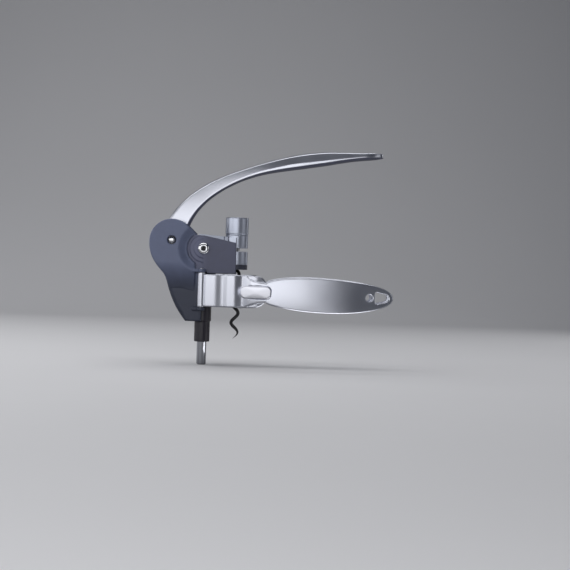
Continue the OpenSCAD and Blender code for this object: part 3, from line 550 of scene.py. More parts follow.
def dress_pair(name, shape, body, replaced, slot, sharp=55, finish_name=None):
    """The piece at the rear and its mirror image at the front; {} in a name stands for the side."""
    points, faces = shape
    for side, way in (("rear", 1), ("front", -1)):
        there = (points * (1, way, 1), faces)
        dress(name.format(side), there, body.format(side), replaced.format(side), slot, sharp, finish_name)


# Frame: cheeks with hub and tail

CHEEK_FOOT = -14.0
TAIL_TOP = 0.5
TAIL_RIGHT = -26.1
EAR_LEFT = -33.5
EARS = ((10.4, 0.8, 3.4), (8.0, -29.2, -26.6))
PIVOT_HOLE_R = 3.1
PIN_HOLE_R = 1.55
back_edge = np.vstack([
    bezier(BELLY_CURVE, np.linspace(0, 0.96, 24)),
    bezier(TAIL_CURVE, np.linspace(0, 1, 36)),
])


def back_x(z):
    """Place of the frame's back edge at a height below the hub's middle."""
    return np.interp(-z, -back_edge[:, 1], back_edge[:, 0])


CHEEK_OUTLINE = np.vstack([
    arc(HUB, HUB_R, 47, 180, 48, whole=False),
    back_edge[back_edge[:, 1] > CHEEK_FOOT],
    [(back_x(CHEEK_FOOT), CHEEK_FOOT), (HUB_TIP[0], CHEEK_FOOT), HUB_TIP],
])
TAIL_OUTLINE = np.vstack([
    [(TAIL_RIGHT, TAIL_TOP), (back_x(TAIL_TOP), TAIL_TOP)],
    back_edge[back_edge[:, 1] < TAIL_TOP - 0.1],
    [(TAIL_RIGHT, TAIL_BOTTOM)],
])


def cheek_field(x, y, z):
    """Cheek at the rear: the hub's outline between y 10.5 and a face that slopes from 14 at z 9 to 10.5 at
    z -15 and dishes in round the bay of the carriage's boss, joined to the tail's wall between 7 and 10.5
    and to two hinge ears, listed as (inner side, bottom, top). The outer edge is rounded, most of all along
    the back of the tail."""
    from_rivet = np.hypot(x - RIVET[0], z - RIVET[1])
    dish = 2.2 * smooth((BAY_R + 7.6 - from_rivet) / 7.6)
    face = mix(CHEEK_IN, CHEEK_OUT, smooth((z + 15) / 24)) - dish * smooth((z + 2) / 8)
    edge_r = 1.0 + 2.3 * smooth((8 - z) / 16) * smooth((-34 - x) / 8)
    plate = both(outline_distance(x, z, CHEEK_OUTLINE), y - face, edge_r)
    plate = less(plate, from_rivet - BAY_R, 0.6)
    upper = np.maximum(plate, CHEEK_IN - y)
    lower = np.maximum(np.maximum(plate, WALL_IN - y), z - TAIL_TOP)
    wall = both(outline_distance(x, z, TAIL_OUTLINE), y - CHEEK_IN, edge_r)
    solid = either(np.minimum(upper, lower), np.maximum(wall, WALL_IN - y), 0.3)
    from_hinge = np.hypot(x - HINGE[0], y - HINGE[1])
    for arm_in, bottom, top in EARS:
        arm = np.maximum(layer(x, EAR_LEFT, HINGE[0]), layer(y, arm_in, HINGE[1]))
        ear = both(np.minimum(from_hinge - HINGE_R, arm), layer(z, bottom, top), 0.4)
        solid = either(solid, ear, 0.4)
    flare = 0.4 * smooth((y - 12.2) / 1.4)
    pivot_hole = np.hypot(x - PIVOT[0], z - PIVOT[1]) - PIVOT_HOLE_R - flare
    return np.maximum(less(solid, pivot_hole, 0.45), PIN_HOLE_R - from_hinge)


cheek = field_skin(cheek_field, (-69, 5.5, -39.5), (-21.5, 18.5, 44.5), 0.42)
dress_pair("cheek_and_tail_{}", cheek, "frame", "frame_cheek_{}", "slate_paint")

# Frame: the pin's domed ends
pin_end = np.vstack([arc((0, 12.9), (2.4, 0.8), 86, 0, 12), [(2.45, 12.5), (3.0, 10.2)]])
dress("pivot_pin", turned(both_ends(pin_end), 64, PIVOT, "y"), "frame", "lever_pivot_pin", "chrome")

# Frame: sleeve and lower collar

SLEEVE_R = 6.9
SLEEVE_FOOT_R = 6.1
SLEEVE_BORE = 4.6


def sleeve_field(x, y, z):
    """Sleeve: an upper tube of radius 6.9, a lower one of radius 6.1 and a flange in the tail, bored out,
    with room cut for the two racks."""
    r = np.hypot(x - ROD_X, y)
    upper = both(r - SLEEVE_R, layer(z, -38.2, SLEEVE_TOP), 0.5)
    lower = both(r - SLEEVE_FOOT_R, layer(z, SLEEVE_BOTTOM, -35.8), 0.6)
    flange = np.maximum(np.abs(x - ROD_X) - SLEEVE_R, np.abs(y) - WALL_IN)
    flange = np.maximum(flange, layer(z, SLEEVE_TOP - 3, SLEEVE_TOP))
    solid = either(np.minimum(upper, flange), lower, 0.25)
    rack = np.maximum(np.maximum(layer(x, -35.2, -30.2), 3.1 - np.abs(y)), -31.9 - z)
    return np.maximum(less(solid, r - SLEEVE_BORE, 0.3), -rack)


sleeve = field_skin(sleeve_field, (-34, -8.5, -55.5), (-17, 8.5, -4.5), 0.4)
dress("rod_sleeve", sleeve, "frame", "guide_sleeve", "black_plastic")

lower_collar = rounded(
    ((COLLAR_BORE, 12), (COLLAR_BORE, LOWER_COLLAR_BOTTOM), (COLLAR_R, LOWER_COLLAR_BOTTOM),
     (COLLAR_R, LOWER_COLLAR_TOP), (COLLAR_BORE, LOWER_COLLAR_TOP), (COLLAR_BORE, 12)),
    (0.2, 0.45, 0.45, 0.2),
)[:-1]
dress("lower_collar", turned(lower_collar, 96, loop=True), "frame", "nut_collar", "brushed_silver")

# Lever: the keys below are (share along the lever's curve, value)

LEVER_RIDGE = (
    (0, -0.66), (0.33, -0.66), (0.41, -0.58), (0.5, -0.48), (0.57, -0.42), (0.66, -0.3), (0.74, -0.36),
    (0.84, -0.4), (0.9, -0.45), (1, -0.4),
)
LEVER_KEEL = (
    (0, -0.8), (0.43, -0.84), (0.57, -0.8), (0.66, -0.78), (0.74, -0.75), (0.84, -0.73), (0.92, -0.76),
    (1, -0.85),
)
LEVER_TILT = ((0, 10.5), (0.3, 10.5), (0.5, 12), (0.65, 18), (0.85, 18), (1, 11))
LEVER_EDGES = (1.5, 0.6, 0.5, 0.5, 1.2)
EDGE_STEPS = 6
LEVER_ROWS = 111
TIP_START = 0.93
lever_tip = np.sin(np.linspace(0, np.pi / 2, 17))[1:]
lever_s = np.concatenate([np.linspace(0, TIP_START, LEVER_ROWS), mix(TIP_START, 1, lever_tip)])
lever_end = np.sqrt(1 - np.concatenate([np.zeros(LEVER_ROWS), lever_tip]) ** 2)


def lever_thickness(s):
    """Height of the lever's section along its curve: 17.5 at the hub, a waist of 8.1, a swell under the palm
    and 4.2 at the tip."""
    swell = 4 * smooth((s - 0.5) / 0.26) * (1 - smooth((s - 0.78) / 0.16))
    return 4.2 + 3.9 * smooth((1 - s) / 0.4) + 9.4 * (1 - np.minimum(s / 0.46, 1)) ** 1.3 + swell


def lever_half_width(s):
    """Half of its width: 6.4 at the hub, widening to 11 at the palm rest."""
    return mix(6.4, 11, smooth((s - 0.22) / 0.5))


def lever_sections(s):
    """Corners of the lever's half section at each s, as (height, half width) from the middle of the top
    down: a crown, an upper facet that tilts back from the ridge, a plain side down to the keel, and a facet
    drawn in by twice its height to the underside, which is 0.6 lower at the tip. The ridge and the keel are
    shares of the half height, and the tilt is in degrees."""
    half = lever_thickness(s) / 2 * 0.985
    width = lever_half_width(s)
    ridge = half * steps_through(s, LEVER_RIDGE)
    keel = half * steps_through(s, LEVER_KEEL)
    brow = 0.8 * half
    brow_width = width - np.tan(np.radians(steps_through(s, LEVER_TILT))) * (brow - ridge)
    below = -half - 0.6 * smooth((s - 0.8) / 0.15)
    corners = (
        (half, 0 * s), (half, 0.55 * brow_width), (brow, brow_width), (ridge, width), (keel, width),
        (below, width - 2 * (keel - below)), (below, 0 * s),
    )
    return np.stack([np.stack(c, -1) for c in corners], 1)


def along_lever(profile):
    """Profiles (rows, points, 2) of height and half width, set square to the lever's curve and drawn in
    round its tip."""
    e = profile[..., 0] * mix(0.6, 1, lever_end)[:, None]
    f = profile[..., 1] * mix(0.06, 1, lever_end)[:, None]
    at = bezier(LEVER_CURVE, lever_s)
    d = bezier_direction(LEVER_CURVE, lever_s)
    return skin(np.stack([at[:, :1] - d[:, 1:] * e, -f, at[:, 1:] + d[:, :1] * e], -1))


def lever_blade():
    """The half section with its corners rounded, mirrored and carried along the lever's curve."""
    half = soft_corners(lever_sections(lever_s), LEVER_EDGES, EDGE_STEPS)
    return along_lever(np.concatenate([half, half[:, -2:0:-1] * (1, -1)], 1))


def lever_underside_shade():
    """Painted shade on the underside: a dark sheet from keel to keel, made of the lower corners of the section
    moved out by 0.07, and the same corners scaled in towards the middle."""
    corners = lever_sections(lever_s)[:, 4:]
    outer = soft_corners(corners, LEVER_EDGES[-1:], EDGE_STEPS) + (-0.07, 0)
    outer = np.concatenate([outer, outer[:, -2::-1] * (1, -1)], 1)
    middle = np.stack([corners[:, 0, 0], 0 * lever_s], -1)[:, None]
    inner = middle + (outer[:, ::-1] - middle) * (0.7, 0.85)
    return along_lever(np.concatenate([outer, inner], 1))


dress("lever_blade", lever_blade(), "lever", "lever_arm", "satin_silver", sharp=30)
# The lever's underside gets a dark sheet that paints its shade.
dress("lever_underside_shade", lever_underside_shade(), "lever", "lever_arm", "dark_slate_paint", 40, "block_paint")

TONGUE_R = 7.2
TONGUE_HALF = 3.3
BUSH_R = 4.5
lever_along = np.array((np.cos(np.radians(72)), np.sin(np.radians(72))))
lever_across = np.array((lever_along[1], -lever_along[0]))
neck_top = LEVER_CURVE[0] + 2 * lever_along
TONGUE_OUTLINE = np.array((
    PIVOT + TONGUE_R * lever_across, neck_top + 7.4 * lever_across,
    neck_top - 7.4 * lever_across, PIVOT - TONGUE_R * lever_across,
))


def tongue_field(x, y, z):
    """Tongue between the gears: a round eye of radius 7.2 on the bush and a neck up to the blade."""
    r = np.hypot(x - PIVOT[0], z - PIVOT[1])
    flat = np.minimum(r - TONGUE_R, outline_distance(x, z, TONGUE_OUTLINE))
    return np.maximum(both(flat, np.abs(y) - TONGUE_HALF, 0.4), BUSH_R - r)


tongue = field_skin(tongue_field, (-60, -4.5, 16), (-36, 4.5, 45), 0.45)
dress("lever_tongue", tongue, "lever", "lever_arm", "satin_silver")

# Carriage: side plates, with bright silver strips on their bevels that paint the bevels' highlight

BLOCK_TOP = 30.6
BLOCK_DROP = 2.0
PLATE_RIGHT = 0.2
PLATE_LEFT = -33.0
PLATE_OUTLINE = np.array((
    (PLATE_LEFT, 1), (-22.5, 1), (-22.5, 0), (PLATE_RIGHT, 0), (PLATE_RIGHT, BLOCK_TOP - BLOCK_DROP),
    (ROD_X, BLOCK_TOP), (PLATE_LEFT, RIVET[1]),
))
HIGHLIGHT_STRIPS = ((-29.4, -9.9), (-9.2, -6.6), (-5.6, -0.3))
HIGHLIGHT_STRIP_SECTION = np.array((
    (0.04, -0.4), (0.0, -0.1), (0.0, 0.05), (0.03, 0.15),
    (0.97, 0.15), (1.0, 0.05), (1.0, -0.1), (0.96, -0.4),
))


def block_bevel(x):
    """Top of the block at x, with the height and depth of the bevel there, which grows wider to the right
    and is almost upright next to the round collar."""
    share = np.clip((x - ROD_X) / 25, 0, 1)
    width = mix(0.9, 4.0, share)
    return BLOCK_TOP - BLOCK_DROP * share, width, np.where(x < -6.1, 0.56 * width, 0.3)


def block_highlight_strip(start, stop):
    """Painted highlight on the bevel at the rear: a bright flat bar with rounded edges, 0.55 thick, carried along
    x from start to stop and standing 0.15 proud. Its section is (share of the slope, distance out of it)."""
    x = np.linspace(start, stop, 24)[:, None]
    top, width, depth = block_bevel(x)
    slope = np.hypot(width, depth)
    along, out = HIGHLIGHT_STRIP_SECTION.T
    y = PLATE_FACE - depth * along + width / slope * out
    z = top - width + width * along + depth / slope * out
    return skin(np.stack([np.broadcast_to(x, y.shape), y, z], -1))


def plate_field(x, y, z):
    """Side plate at the rear, y 7 to 10.2: a round boss that runs under the cheek's bay and a block whose
    top edge has a bevel. Left of the rivet the face goes down in two soft round steps. The right end is cut
    round for the collars."""
    r = np.hypot(x - RIVET[0], z - RIVET[1])
    edge = np.minimum(r - 11 - 2.7 * smooth((-29 - x) / 5), outline_distance(x, z, PLATE_OUTLINE))
    left = smooth((-24.5 - x) / 2.5)
    face = PLATE_FACE - left * 0.4 * (smooth((r - 7.0) / 0.9) + smooth((r - 10.4) / 0.9))
    solid = np.maximum(both(edge, y - face, 0.45), WALL_IN - y)
    top, width, depth = block_bevel(x)
    bevel = ((y - PLATE_FACE) * width + (z - top + width) * depth) / np.hypot(width, depth)
    solid = np.where(x > -30, both(solid, bevel, 0.15), solid)
    collar_room = np.where(z < UPPER_COLLAR_BOTTOM, COLLAR_R + 0.4, COLLAR_R + 0.05)
    solid = np.maximum(solid, collar_room - np.hypot(x, y))
    return np.maximum(solid, 2.4 - r)


plate = field_skin(plate_field, (-39.5, 5.5, -0.5), (1, 11.5, 33), 0.36)
dress_pair(
    "block_side_{}", plate, "carriage", "carriage_plate_{}", "dark_slate_paint", finish_name="block_paint",
)
# Bright silver strips on the bevels paint the bevels' highlight.
for i, (start, stop) in enumerate(HIGHLIGHT_STRIPS):
    strip = block_highlight_strip(start, stop)
    dress_pair("block_highlight_strip_{}_%d" % i, strip, "carriage", "carriage_plate_{}", "brushed_silver", sharp=30)

# Carriage: rod, rivet, upper collar and cap. Solid profiles start just off the axis, and fans close them

AXIS_GAP = 0.5
ROD_BEVEL = 0.8
rod = rounded(
    ((AXIS_GAP, ROD_BOTTOM), (ROD_R - ROD_BEVEL, ROD_BOTTOM), (ROD_R, ROD_BOTTOM + ROD_BEVEL),
     (ROD_R, ROD_TOP), (AXIS_GAP, ROD_TOP)),
    (0.4, 0.4, 0.2),
)
dress(
    "rod", turned(rod, 64, (ROD_X, 0.0)), "carriage", "guide_rod", "chrome", finish_name="drawn_chrome_painted_streaks",
)

RIVET_NECK_R = 2.4
rivet_end = np.vstack([
    [(RIVET_NECK_R, PLATE_FACE)], arc((RIVET_NECK_R, PLATE_FACE), (2.4, 2.2), 0, 90, 13),
    [(1.9, 12.25), (1.7, 11.9)],
])
cross_rivet = turned(both_ends(rivet_end), 64, RIVET, "y", loop=True)
dress("cross_rivet", cross_rivet, "carriage", "rod_cross_rivet", "chrome")
# A black plug fills the rivet's bore and paints the shade inside its hole.
rivet_bore_shade = turned(((1.75, -9.5), (1.75, 9.5)), 32, RIVET, "y")
dress("rivet_bore_shade", rivet_bore_shade, "carriage", "rod_cross_rivet", "black_coating")

COLLAR_EYE = 2.6
COLLAR_FLOOR = 22.6
UPPER_COLLAR_TOP = 30.5
upper_collar = rounded(
    ((COLLAR_EYE, 21.5), (COLLAR_EYE, UPPER_COLLAR_BOTTOM), (COLLAR_R, UPPER_COLLAR_BOTTOM),
     (COLLAR_R, UPPER_COLLAR_TOP), (COLLAR_BORE, UPPER_COLLAR_TOP), (COLLAR_BORE, COLLAR_FLOOR),
     (COLLAR_EYE, COLLAR_FLOOR), (COLLAR_EYE, 21.5)),
    (0.2, 0.45, 0.3, 0.2, 0.2, 0.2),
)[:-1]
dress("upper_collar", turned(upper_collar, 96, loop=True), "carriage", "worm_collar", "brushed_silver")

CAP_R = 9.05
CAP_PLUG_R = 6.9
CAP_GROOVE_R = 8.75
CAP_DISH = 0.5
cap = rounded(
    ((AXIS_GAP, 27.2), (CAP_PLUG_R, 27.2), (CAP_PLUG_R, 30.6), (CAP_GROOVE_R, 30.6), (CAP_GROOVE_R, 31.5),
     (CAP_R, 31.8), (CAP_R, CAP_TOP), (7.3, CAP_TOP), (6.7, CAP_TOP - CAP_DISH),
     (AXIS_GAP, CAP_TOP - CAP_DISH)),
    (0.2, 0.2, 0.2, 0.15, 0.2, 1.1, 0.4, 0.3),
)
dress("worm_cap_turned", turned(cap, 96), "carriage", "worm_cap", "brushed_silver")

# Worm

WORM_TIP = -51.1
WORM_SHOULDER = 14.6
WORM_PITCH = 15.4
COIL_R = 2.65
WIRE_R = 1.3


def worm_wire(sides=20):
    """Round wire of radius 1.3 along a coil of radius 2.65 that rises 15.4 in a turn, drawn to the axis at
    the top and to a point over the last 9 at the bottom."""
    neck = np.linspace(14.9, 18.3, 14)
    z = np.concatenate([np.linspace(WORM_TIP, WORM_SHOULDER, 240), neck, [22.0, 25.0]])
    coil = COIL_R * (1 - smooth((z - WORM_SHOULDER) / 3.7))
    angle = 2 * np.pi * (z + 31) / WORM_PITCH
    out = np.stack([np.cos(angle), np.sin(angle), 0 * z], 1)
    at = coil[:, None] * out + z[:, None] * (0, 0, 1)
    along = np.gradient(at, axis=0)
    along /= np.linalg.norm(along, axis=1, keepdims=True)
    e1 = out - along * (out * along).sum(1, keepdims=True)
    e1 /= np.linalg.norm(e1, axis=1, keepdims=True)
    e2 = np.cross(along, e1)
    r = WIRE_R * np.clip((z - WORM_TIP) / 9, 0.06, 1) ** 0.8
    a = np.linspace(0, 2 * np.pi, sides, endpoint=False)[None, :, None]
    return skin(at[:, None] + r[:, None, None] * (np.cos(a) * e1[:, None] + np.sin(a) * e2[:, None]))


dress("worm_wire", worm_wire(), "worm", "worm", "black_coating")

# Grips: drawn at the rear and mirrored for the front

GRIP_Z = -13.6
NECK_HALF = 7.7
PALM_HALF = 13.5
PALM_X = 64.0
PALM_TO_TIP = 60.36
OVAL_POWER = 2.25
JAW_LEFT = -25.6
JAW_Z = -13.3
JAW_HALF = 12.7
JAW_R = 16.5
JAW_RING_R = 19.3
JAW_RING_END = np.radians(15)
WAVE_END = 10.0
WAVE = (
    (JAW_LEFT, 14.8), (-22.6, 17.4), (-16.5, 18.1), (-9.4, 17.0), (-5.6, 18.6), (-1.2, 18.9), (6.4, 17.3),
    (WAVE_END, 19.1),
)
WING_START = 12.0
WING_RUN = 12.0
WING_RISE = 6.0
BARREL_BOTTOM = -26.3
BARREL_TOP = 0.5
BARREL_BORE = 1.56
PANEL = np.array((16.5, GRIP_Z))
PANEL_FLAT = np.array((8.1, 1.0))
PANEL_CORNER = 3.9
SEAT_DEPTH = 0.8
LOOP_OUTLINE = np.vstack([
    arc((117.87, HANG_HOLE[1]), 3.13, -77.5, 77.5, 15),
    arc((110.8, HANG_HOLE[1] + 3.5), 1.2, 77.5, 180, 7),
    arc((110.8, HANG_HOLE[1] - 3.5), 1.2, 180, 282.5, 7),
])
plan_t = np.linspace(0, 1, 801)
grip_end = np.array((np.cos(GRIP_LEAN), -np.sin(GRIP_LEAN)))
grip_plan = np.vstack([bezier(GRIP_CURVE, plan_t), GRIP_CURVE[3] + 40 * grip_end])
grip_turn = np.append(bezier_direction(GRIP_CURVE, plan_t)[:, 0], grip_end[0])


def grip_middle(x):
    """Distance of the handle's middle from the middle plane, read off its plan curve and straight end."""
    return np.interp(x, grip_plan[:, 0], grip_plan[:, 1])


def grip_slant(x):
    """Cosine of the angle between the handle's plan curve and x."""
    return np.interp(x, grip_plan[:, 0], grip_turn)


def grip_half_thickness(x):
    """Half thickness, 3 at the root and 2.1 at the tip."""
    return mix(3.0, 2.1, smooth(x / 100))


def grip_mid_z(x):
    """Height of the handle's middle line, which drops 1.9 towards the tip."""
    return GRIP_Z - 1.9 * smooth((x - 25) / 75)


def root_half_height(x):
    """Half height of the handle up to its widest place: 7.7 at the neck, with a flare to 13.2 at the jaw as
    a power 1.7 of the distance, and a swell to 13.5 under the palm as a sine to the power 0.6."""
    flare = 5.5 * np.clip((22.5 - x) / 17, 0, 1) ** 1.7
    swell = np.sin(np.pi / 2 * np.clip((x - 24.5) / (PALM_X - 24.5), 1e-4, 1)) ** 0.6
    return NECK_HALF + np.where(x < 24.7, flare, (PALM_HALF - NECK_HALF) * swell)


def paddle_edge(x, z):
    """Distance to the handle's outline from the front, from x 2 on: its half height up to x 64, and then
    half of the rounded oval (u/60.36)^2.25 + (v/13.5)^2.25 = 1."""
    v = np.abs(z - grip_mid_z(x))
    tall = root_half_height(x)
    plain = (v - tall) / np.hypot(1, (root_half_height(x + 0.2) - tall) / 0.2)
    n = OVAL_POWER
    across, up = np.maximum(x - PALM_X, 0) / PALM_TO_TIP, v / PALM_HALF
    reach = np.maximum((across ** n + up ** n) ** (1 / n), 1e-3)
    slope = np.hypot(across ** (n - 1) / PALM_TO_TIP, up ** (n - 1) / PALM_HALF) * reach ** (1 - n)
    edge = np.where(x > PALM_X, (reach - 1) / np.maximum(slope, 1e-3), plain)
    return both(edge, 2.0 - x, 1.0)


def jaw_edge(x, z):
    """Distance to the jaw's outline from the front: 25.4 high up to x 12, and then drawn in by two quarter
    ellipses, 12 long and 6 high, to the wings' ends."""
    v = np.abs(z - JAW_Z)
    ex = np.maximum(x - WING_START, 0) / WING_RUN
    ev = np.maximum(v - JAW_HALF + WING_RISE, 0) / WING_RISE
    reach = np.maximum(np.hypot(ex, ev), 1e-3)
    slope = np.maximum(np.hypot(ex / WING_RUN, ev / WING_RISE) / reach, 1e-2)
    return np.maximum((reach - 1) / slope, v - JAW_HALF)


def jaw_face(x):
    """Outer face of the jaw: the wave, and then wings that stand back from the handle and turn in at the
    end."""
    back = 2.5 + 0.6 * smooth((x - 7) / 4) + 1.6 * smooth((x - 15) / 9)
    wing = grip_middle(x) + grip_half_thickness(x) - back
    return np.where(x < WAVE_END, steps_through(x, WAVE), wing)


def jaw_field(x, y, z):
    """Jaw: a wall between its outer face and a round inside about the worm's axis, joined to a ring that
    runs on round the inside to 15 degrees from x, and cut to the outline from the front."""
    outer = jaw_face(x)
    lean = 1 / np.hypot(1, (jaw_face(x + 0.1) - outer) / 0.1)
    r = np.hypot(x, y)
    inner = mix(12.2, grip_middle(x) - 2.6, smooth((x - 8) / 6))
    wall = np.maximum(np.maximum((y - outer) * lean, JAW_R - r), np.maximum(inner - y, JAW_LEFT - x))
    past_end = x * np.sin(JAW_RING_END) - y * np.cos(JAW_RING_END)
    ring = np.maximum(layer(r, JAW_R, JAW_RING_R), np.maximum(7 - x, past_end))
    return both(either(wall, ring, 0.6), jaw_edge(x, z), 0.9)


def panel_edge(x, z):
    """Distance to the raised panel's outline, an oblong 24 by 9.8 with round corners."""
    ax = np.abs(x - PANEL[0]) - PANEL_FLAT[0]
    az = np.abs(z - PANEL[1]) - PANEL_FLAT[1]
    return np.hypot(np.maximum(ax, 0), np.maximum(az, 0)) + np.minimum(np.maximum(ax, az), 0) - PANEL_CORNER


def along_grip(x, off):
    """Place along the handle's straight end of a point at x that stands off its middle."""
    return HANG_HOLE[0] + (x - HANG_HOLE[0] - off * np.sin(GRIP_LEAN)) / np.cos(GRIP_LEAN)


def grip_field(x, y, z):
    """Grip at the rear: the jaw, a barrel at the hinge, and a handle that is a plate along its plan curve.
    The handle ramps up out of the jaw and has a crowned face, a rounded rim, a seat for the panel and a
    hanging hole square to it. The loop near its tip widens inwards, so that its end wall lies along y."""
    half = grip_half_thickness(x)
    off = (y - grip_middle(x)) * grip_slant(x)
    v = (z - grip_mid_z(x)) / PALM_HALF
    ramp = 4.4 * (1 - smooth((x - 4.8) / 8))
    crown = 0.24 - 0.2 * smooth((x - 58) / 30)
    tilt = 0.8 * v * smooth((x - 16) / 14)
    face = np.maximum(off - half * (1 - crown * v * v) + ramp + tilt, -off - half * (1 - 0.07 * v * v))
    handle = both(paddle_edge(x, z), face, 1.0)
    from_hinge = np.hypot(x - HINGE[0], y - HINGE[1])
    barrel = both(from_hinge - HINGE_R, layer(z, BARREL_BOTTOM, BARREL_TOP), 0.4)
    solid = either(either(jaw_field(x, y, z), barrel, 0.5), handle, 0.35)
    solid = np.maximum(solid, BARREL_BORE - from_hinge)
    along = along_grip(x, off)
    hole = np.hypot(along - HANG_HOLE[0], z - HANG_HOLE[1]) - HANG_HOLE_R
    solid = less(solid, hole, 0.35)
    square_loop = outline_distance(along, z, LOOP_OUTLINE)
    straight_loop = outline_distance(along_grip(x, half), z, LOOP_OUTLINE)
    solid = less(solid, np.minimum(square_loop, straight_loop), 0.4)
    seat = np.maximum(panel_edge(x, z) - 0.28, half - SEAT_DEPTH - off)
    return less(solid, seat, 0.2)


grip = field_skin(grip_field, (-31, 1, -32), (126, 26.5, 2.5), 0.44)
dress_pair("grip_casting_{}", grip, "grip_{}", "{}_grip", "satin_silver")


def panel_shape(around=120):
    """Raised panel: its outline scaled in towards the middle, with the height above the seat rising round
    the edge as a quarter circle and then swelling by 0.12 to the middle as 1 - f^2, where f is the share of
    the edge's size."""
    a = np.linspace(0, 2 * np.pi, around, endpoint=False)
    way = np.stack([np.cos(a), np.sin(a)], 1)
    corner = PANEL_FLAT * np.sign(way) + PANEL_CORNER * way
    bend = np.linspace(0, np.pi / 2, 8)
    inward = np.concatenate([[0.0, 0.0], 0.9 * (1 - np.cos(bend))])[:, None]
    edge_size = 1 - inward / (PANEL_FLAT + PANEL_CORNER)
    f = np.linspace(0.9, 0.06, 12)
    size = np.vstack([edge_size, f[:, None] * edge_size[-1]])
    up = np.concatenate([[-2.6, 0.6], 0.75 + 0.68 * np.sin(bend), 1.43 + 0.12 * (1 - f * f)])[:, None]
    x, z = np.moveaxis(PANEL + corner * size[:, None], -1, 0)
    y = grip_middle(x) + (grip_half_thickness(x) - SEAT_DEPTH + up) / grip_slant(x)
    return skin(np.stack([x, y, z], -1))


dress_pair("panel_{}", panel_shape(), "grip_{}", "{}_grip_inlay", "bright_silver", sharp=40)

PAD_BOTTOM = -25.0
PAD_TOP = -1.0
PAD_EDGE = 0.4
RIB_PITCH = 2.9
RIB_DEPTH = 0.28


def pad_shape():
    """Soft pad: a section 1.9 thick and 24 high, with shallow ribs on its inner face as a cosine, carried
    round the worm's axis from 22.6 to 119.4 degrees and drawn in by 0.35 at both ends."""
    a = np.radians(np.concatenate([[22.6], np.linspace(23, 119, 60), [119.4]]))[:, None]
    inset = np.concatenate([[0.35], np.zeros(60), [0.35]])[:, None]
    low, high = PAD_BOTTOM + PAD_EDGE, PAD_TOP - PAD_EDGE
    z_in = np.linspace(low, high, 70)
    ribs = RIB_DEPTH * (0.5 - 0.5 * np.cos(2 * np.pi * (z_in - low) / RIB_PITCH))
    section = np.vstack([
        np.stack([14.55 + ribs, z_in], 1), [(14.9, PAD_TOP), (16.1, PAD_TOP), (16.45, high)],
        [(16.45, low), (16.1, PAD_BOTTOM), (14.9, PAD_BOTTOM)],
    ])
    to_middle = np.sign(section.mean(0) - section)
    r = section[:, 0] + to_middle[:, 0] * inset
    z = section[:, 1] + to_middle[:, 1] * inset
    return skin(np.stack([r * np.cos(a), r * np.sin(a), z], -1))


dress_pair("jaw_liner_{}", pad_shape(), "grip_{}", "{}_jaw_pad", "soft_pad", sharp=35)

# CAD nodes: each gets the finish of its slot, which shows on those that no piece replaces

for part in record["subparts"]:
    mesh = nodes[part["node"]].data
    mesh.materials.clear()
    mesh.materials.append(finishes[part["material_slot"]])

# Floor, lights and camera, in metres

FLOOR_SHARE = 0.36


def dimmer_for_others(material, share):
    """Makes a material's colour the given share of itself for every ray but the camera's."""
    tree = material.node_tree
    colour = tree.nodes["Principled BSDF"].inputs["Base Color"]
    step = tree.nodes.new("ShaderNodeMapRange")
    step.inputs["To Min"].default_value = share
    link(tree, tree.nodes.new("ShaderNodeLightPath").outputs["Is Camera Ray"], step.inputs["Value"])
    scaled = tree.nodes.new("ShaderNodeVectorMath")
    scaled.operation = "SCALE"
    link(tree, colour.links[0].from_socket, scaled.inputs[0])
    link(tree, step.outputs["Result"], scaled.inputs["Scale"])
    link(tree, scaled.outputs["Vector"], colour)


def backdrop():
    """Floor at the rod's foot that runs back, bends up through a quarter circle and ends as a low wall."""
    bend = np.radians(np.linspace(0, 90, 25))
    y = np.concatenate([[-0.72], 0.7 + 0.5 * np.sin(bend), [1.2]])
    z = np.concatenate([[0], 0.5 - 0.5 * np.cos(bend), [0.75]]) + ROD_BOTTOM * MM
    x = np.linspace(-3, 3, 13)
    rows, columns = len(y), len(x)
    grid = np.stack(np.broadcast_arrays(x[None, :], y[:, None], z[:, None]), -1).reshape(-1, 3)
    i, k = np.meshgrid(np.arange(rows - 1), np.arange(columns - 1), indexing="ij")
    start = (i * columns + k).ravel()
    faces = np.stack([start, start + 1, start + columns + 1, start + columns], 1)
    mesh = bpy.data.meshes.new("studio_floor")
    mesh.from_pydata(grid.tolist(), [], faces.tolist())
    mesh.shade_smooth()
    paper = finish(
        "studio_paper", (0.8, 0.8, 0.82), grain_group,
        {"Fine": 600.0, "Broad": 4.0, "Smoothest": 0.85, "Roughest": 0.95, "Dull": 0.99, "Bright": 1.01},
        bump=0.02,
    )
    dimmer_for_others(paper, FLOOR_SHARE)
    mesh.materials.append(paper)
    floor = bpy.data.objects.new("studio_floor", mesh)
    bpy.context.scene.collection.objects.link(floor)


def softbox(name, place, look, width, height, radiance):
    """Rectangular lamp with the given radiance, turned to look at a point and unseen by the camera."""
    lamp = bpy.data.lights.new(name, "AREA")
    lamp.shape = "RECTANGLE"
    lamp.size = width
    lamp.size_y = height
    lamp.energy = radiance * np.pi * width * height
    holder = bpy.data.objects.new(name, lamp)
    holder.location = place
    holder.rotation_euler = (Vector(look) - Vector(place)).to_track_quat("-Z", "Y").to_euler()
    holder.visible_camera = False
    bpy.context.scene.collection.objects.link(holder)


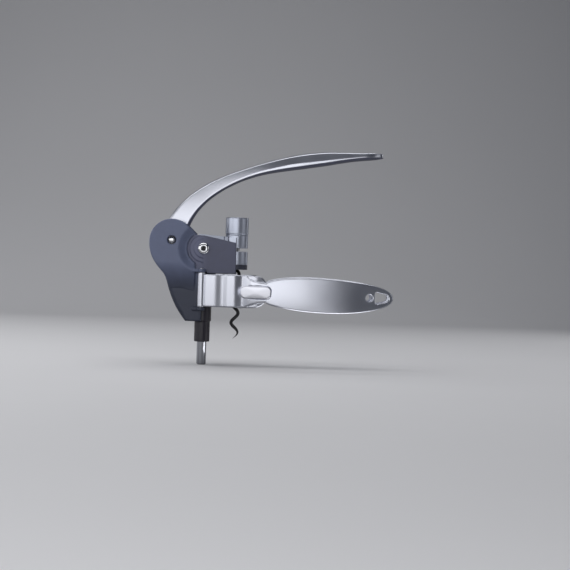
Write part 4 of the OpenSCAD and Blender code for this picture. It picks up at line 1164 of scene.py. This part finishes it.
def studio_sky():
    """World that is dim as a light and in reflections, and pale to the camera."""
    world = bpy.data.worlds.new("studio")
    world.use_nodes = True
    tree = world.node_tree
    dim = tree.nodes["Background"]
    dim.inputs["Color"].default_value = (0.026, 0.03, 0.042, 1)
    pale = tree.nodes.new("ShaderNodeBackground")
    pale.inputs["Color"].default_value = (0.46, 0.46, 0.47, 1)
    choice = tree.nodes.new("ShaderNodeMixShader")
    link(tree, tree.nodes.new("ShaderNodeLightPath").outputs["Is Camera Ray"], choice.inputs["Fac"])
    link(tree, dim.outputs["Background"], choice.inputs[1])
    link(tree, pale.outputs["Background"], choice.inputs[2])
    link(tree, choice.outputs["Shader"], tree.nodes["World Output"].inputs["Surface"])
    bpy.context.scene.world = world


def place_camera(azimuth, elevation, roll, distance, centre, target, focal, picture=570, sensor=36):
    """Camera at a distance from a centre, aimed at a target and rolled about its own axis; focal is in
    pixels of the picture's width."""
    az, el = np.radians(azimuth), np.radians(elevation)
    back = Vector((np.sin(az) * np.cos(el), -np.cos(az) * np.cos(el), np.sin(el)))
    camera = bpy.data.cameras.new("camera")
    camera.lens = focal / picture * sensor
    camera.sensor_width = sensor
    holder = bpy.data.objects.new("camera", camera)
    place = Vector(centre) + distance * back
    aim = (Vector(target) - place).to_track_quat("-Z", "Y").to_matrix()
    turn = aim @ Matrix.Rotation(np.radians(roll), 3, "Z")
    holder.matrix_world = Matrix.Translation(place) @ turn.to_4x4()
    bpy.context.scene.collection.objects.link(holder)
    bpy.context.scene.camera = holder


backdrop()
softbox("front_box", (-0.252, -0.85, 0.145), (-0.252, 0.0, 0.145), 0.936, 0.45, 1.39)
softbox("left_box", (-0.8, -0.125, 0.2), (0.0, -0.125, 0.2), 1.45, 0.5, 1.15)
softbox("top_box", (-0.22, 0.05, 0.8), (-0.22, 0.05, 0.0), 1.4, 0.8, 1.7)
softbox("right_box", (0.8, -0.3, 0.2), (0.0, -0.3, 0.2), 0.6, 0.5, 0.45)
softbox("right_strip", (0.55, 0.45, 0.2), (0.0, 0.0, 0.0), 0.1, 0.6, 1.4)
softbox("low_box", (0.085, -0.032, -0.07), (0.085, -0.032, 0.0), 0.1, 0.07, 1.6)
studio_sky()
place_camera(
    azimuth=0.0, elevation=0.2, roll=1.77, distance=1.0, centre=(0.028, 0.0, 0.012),
    target=(0.0393, 0.0, -0.0075), focal=1260.2,
)
bpy.context.scene.view_settings.view_transform = "Standard"
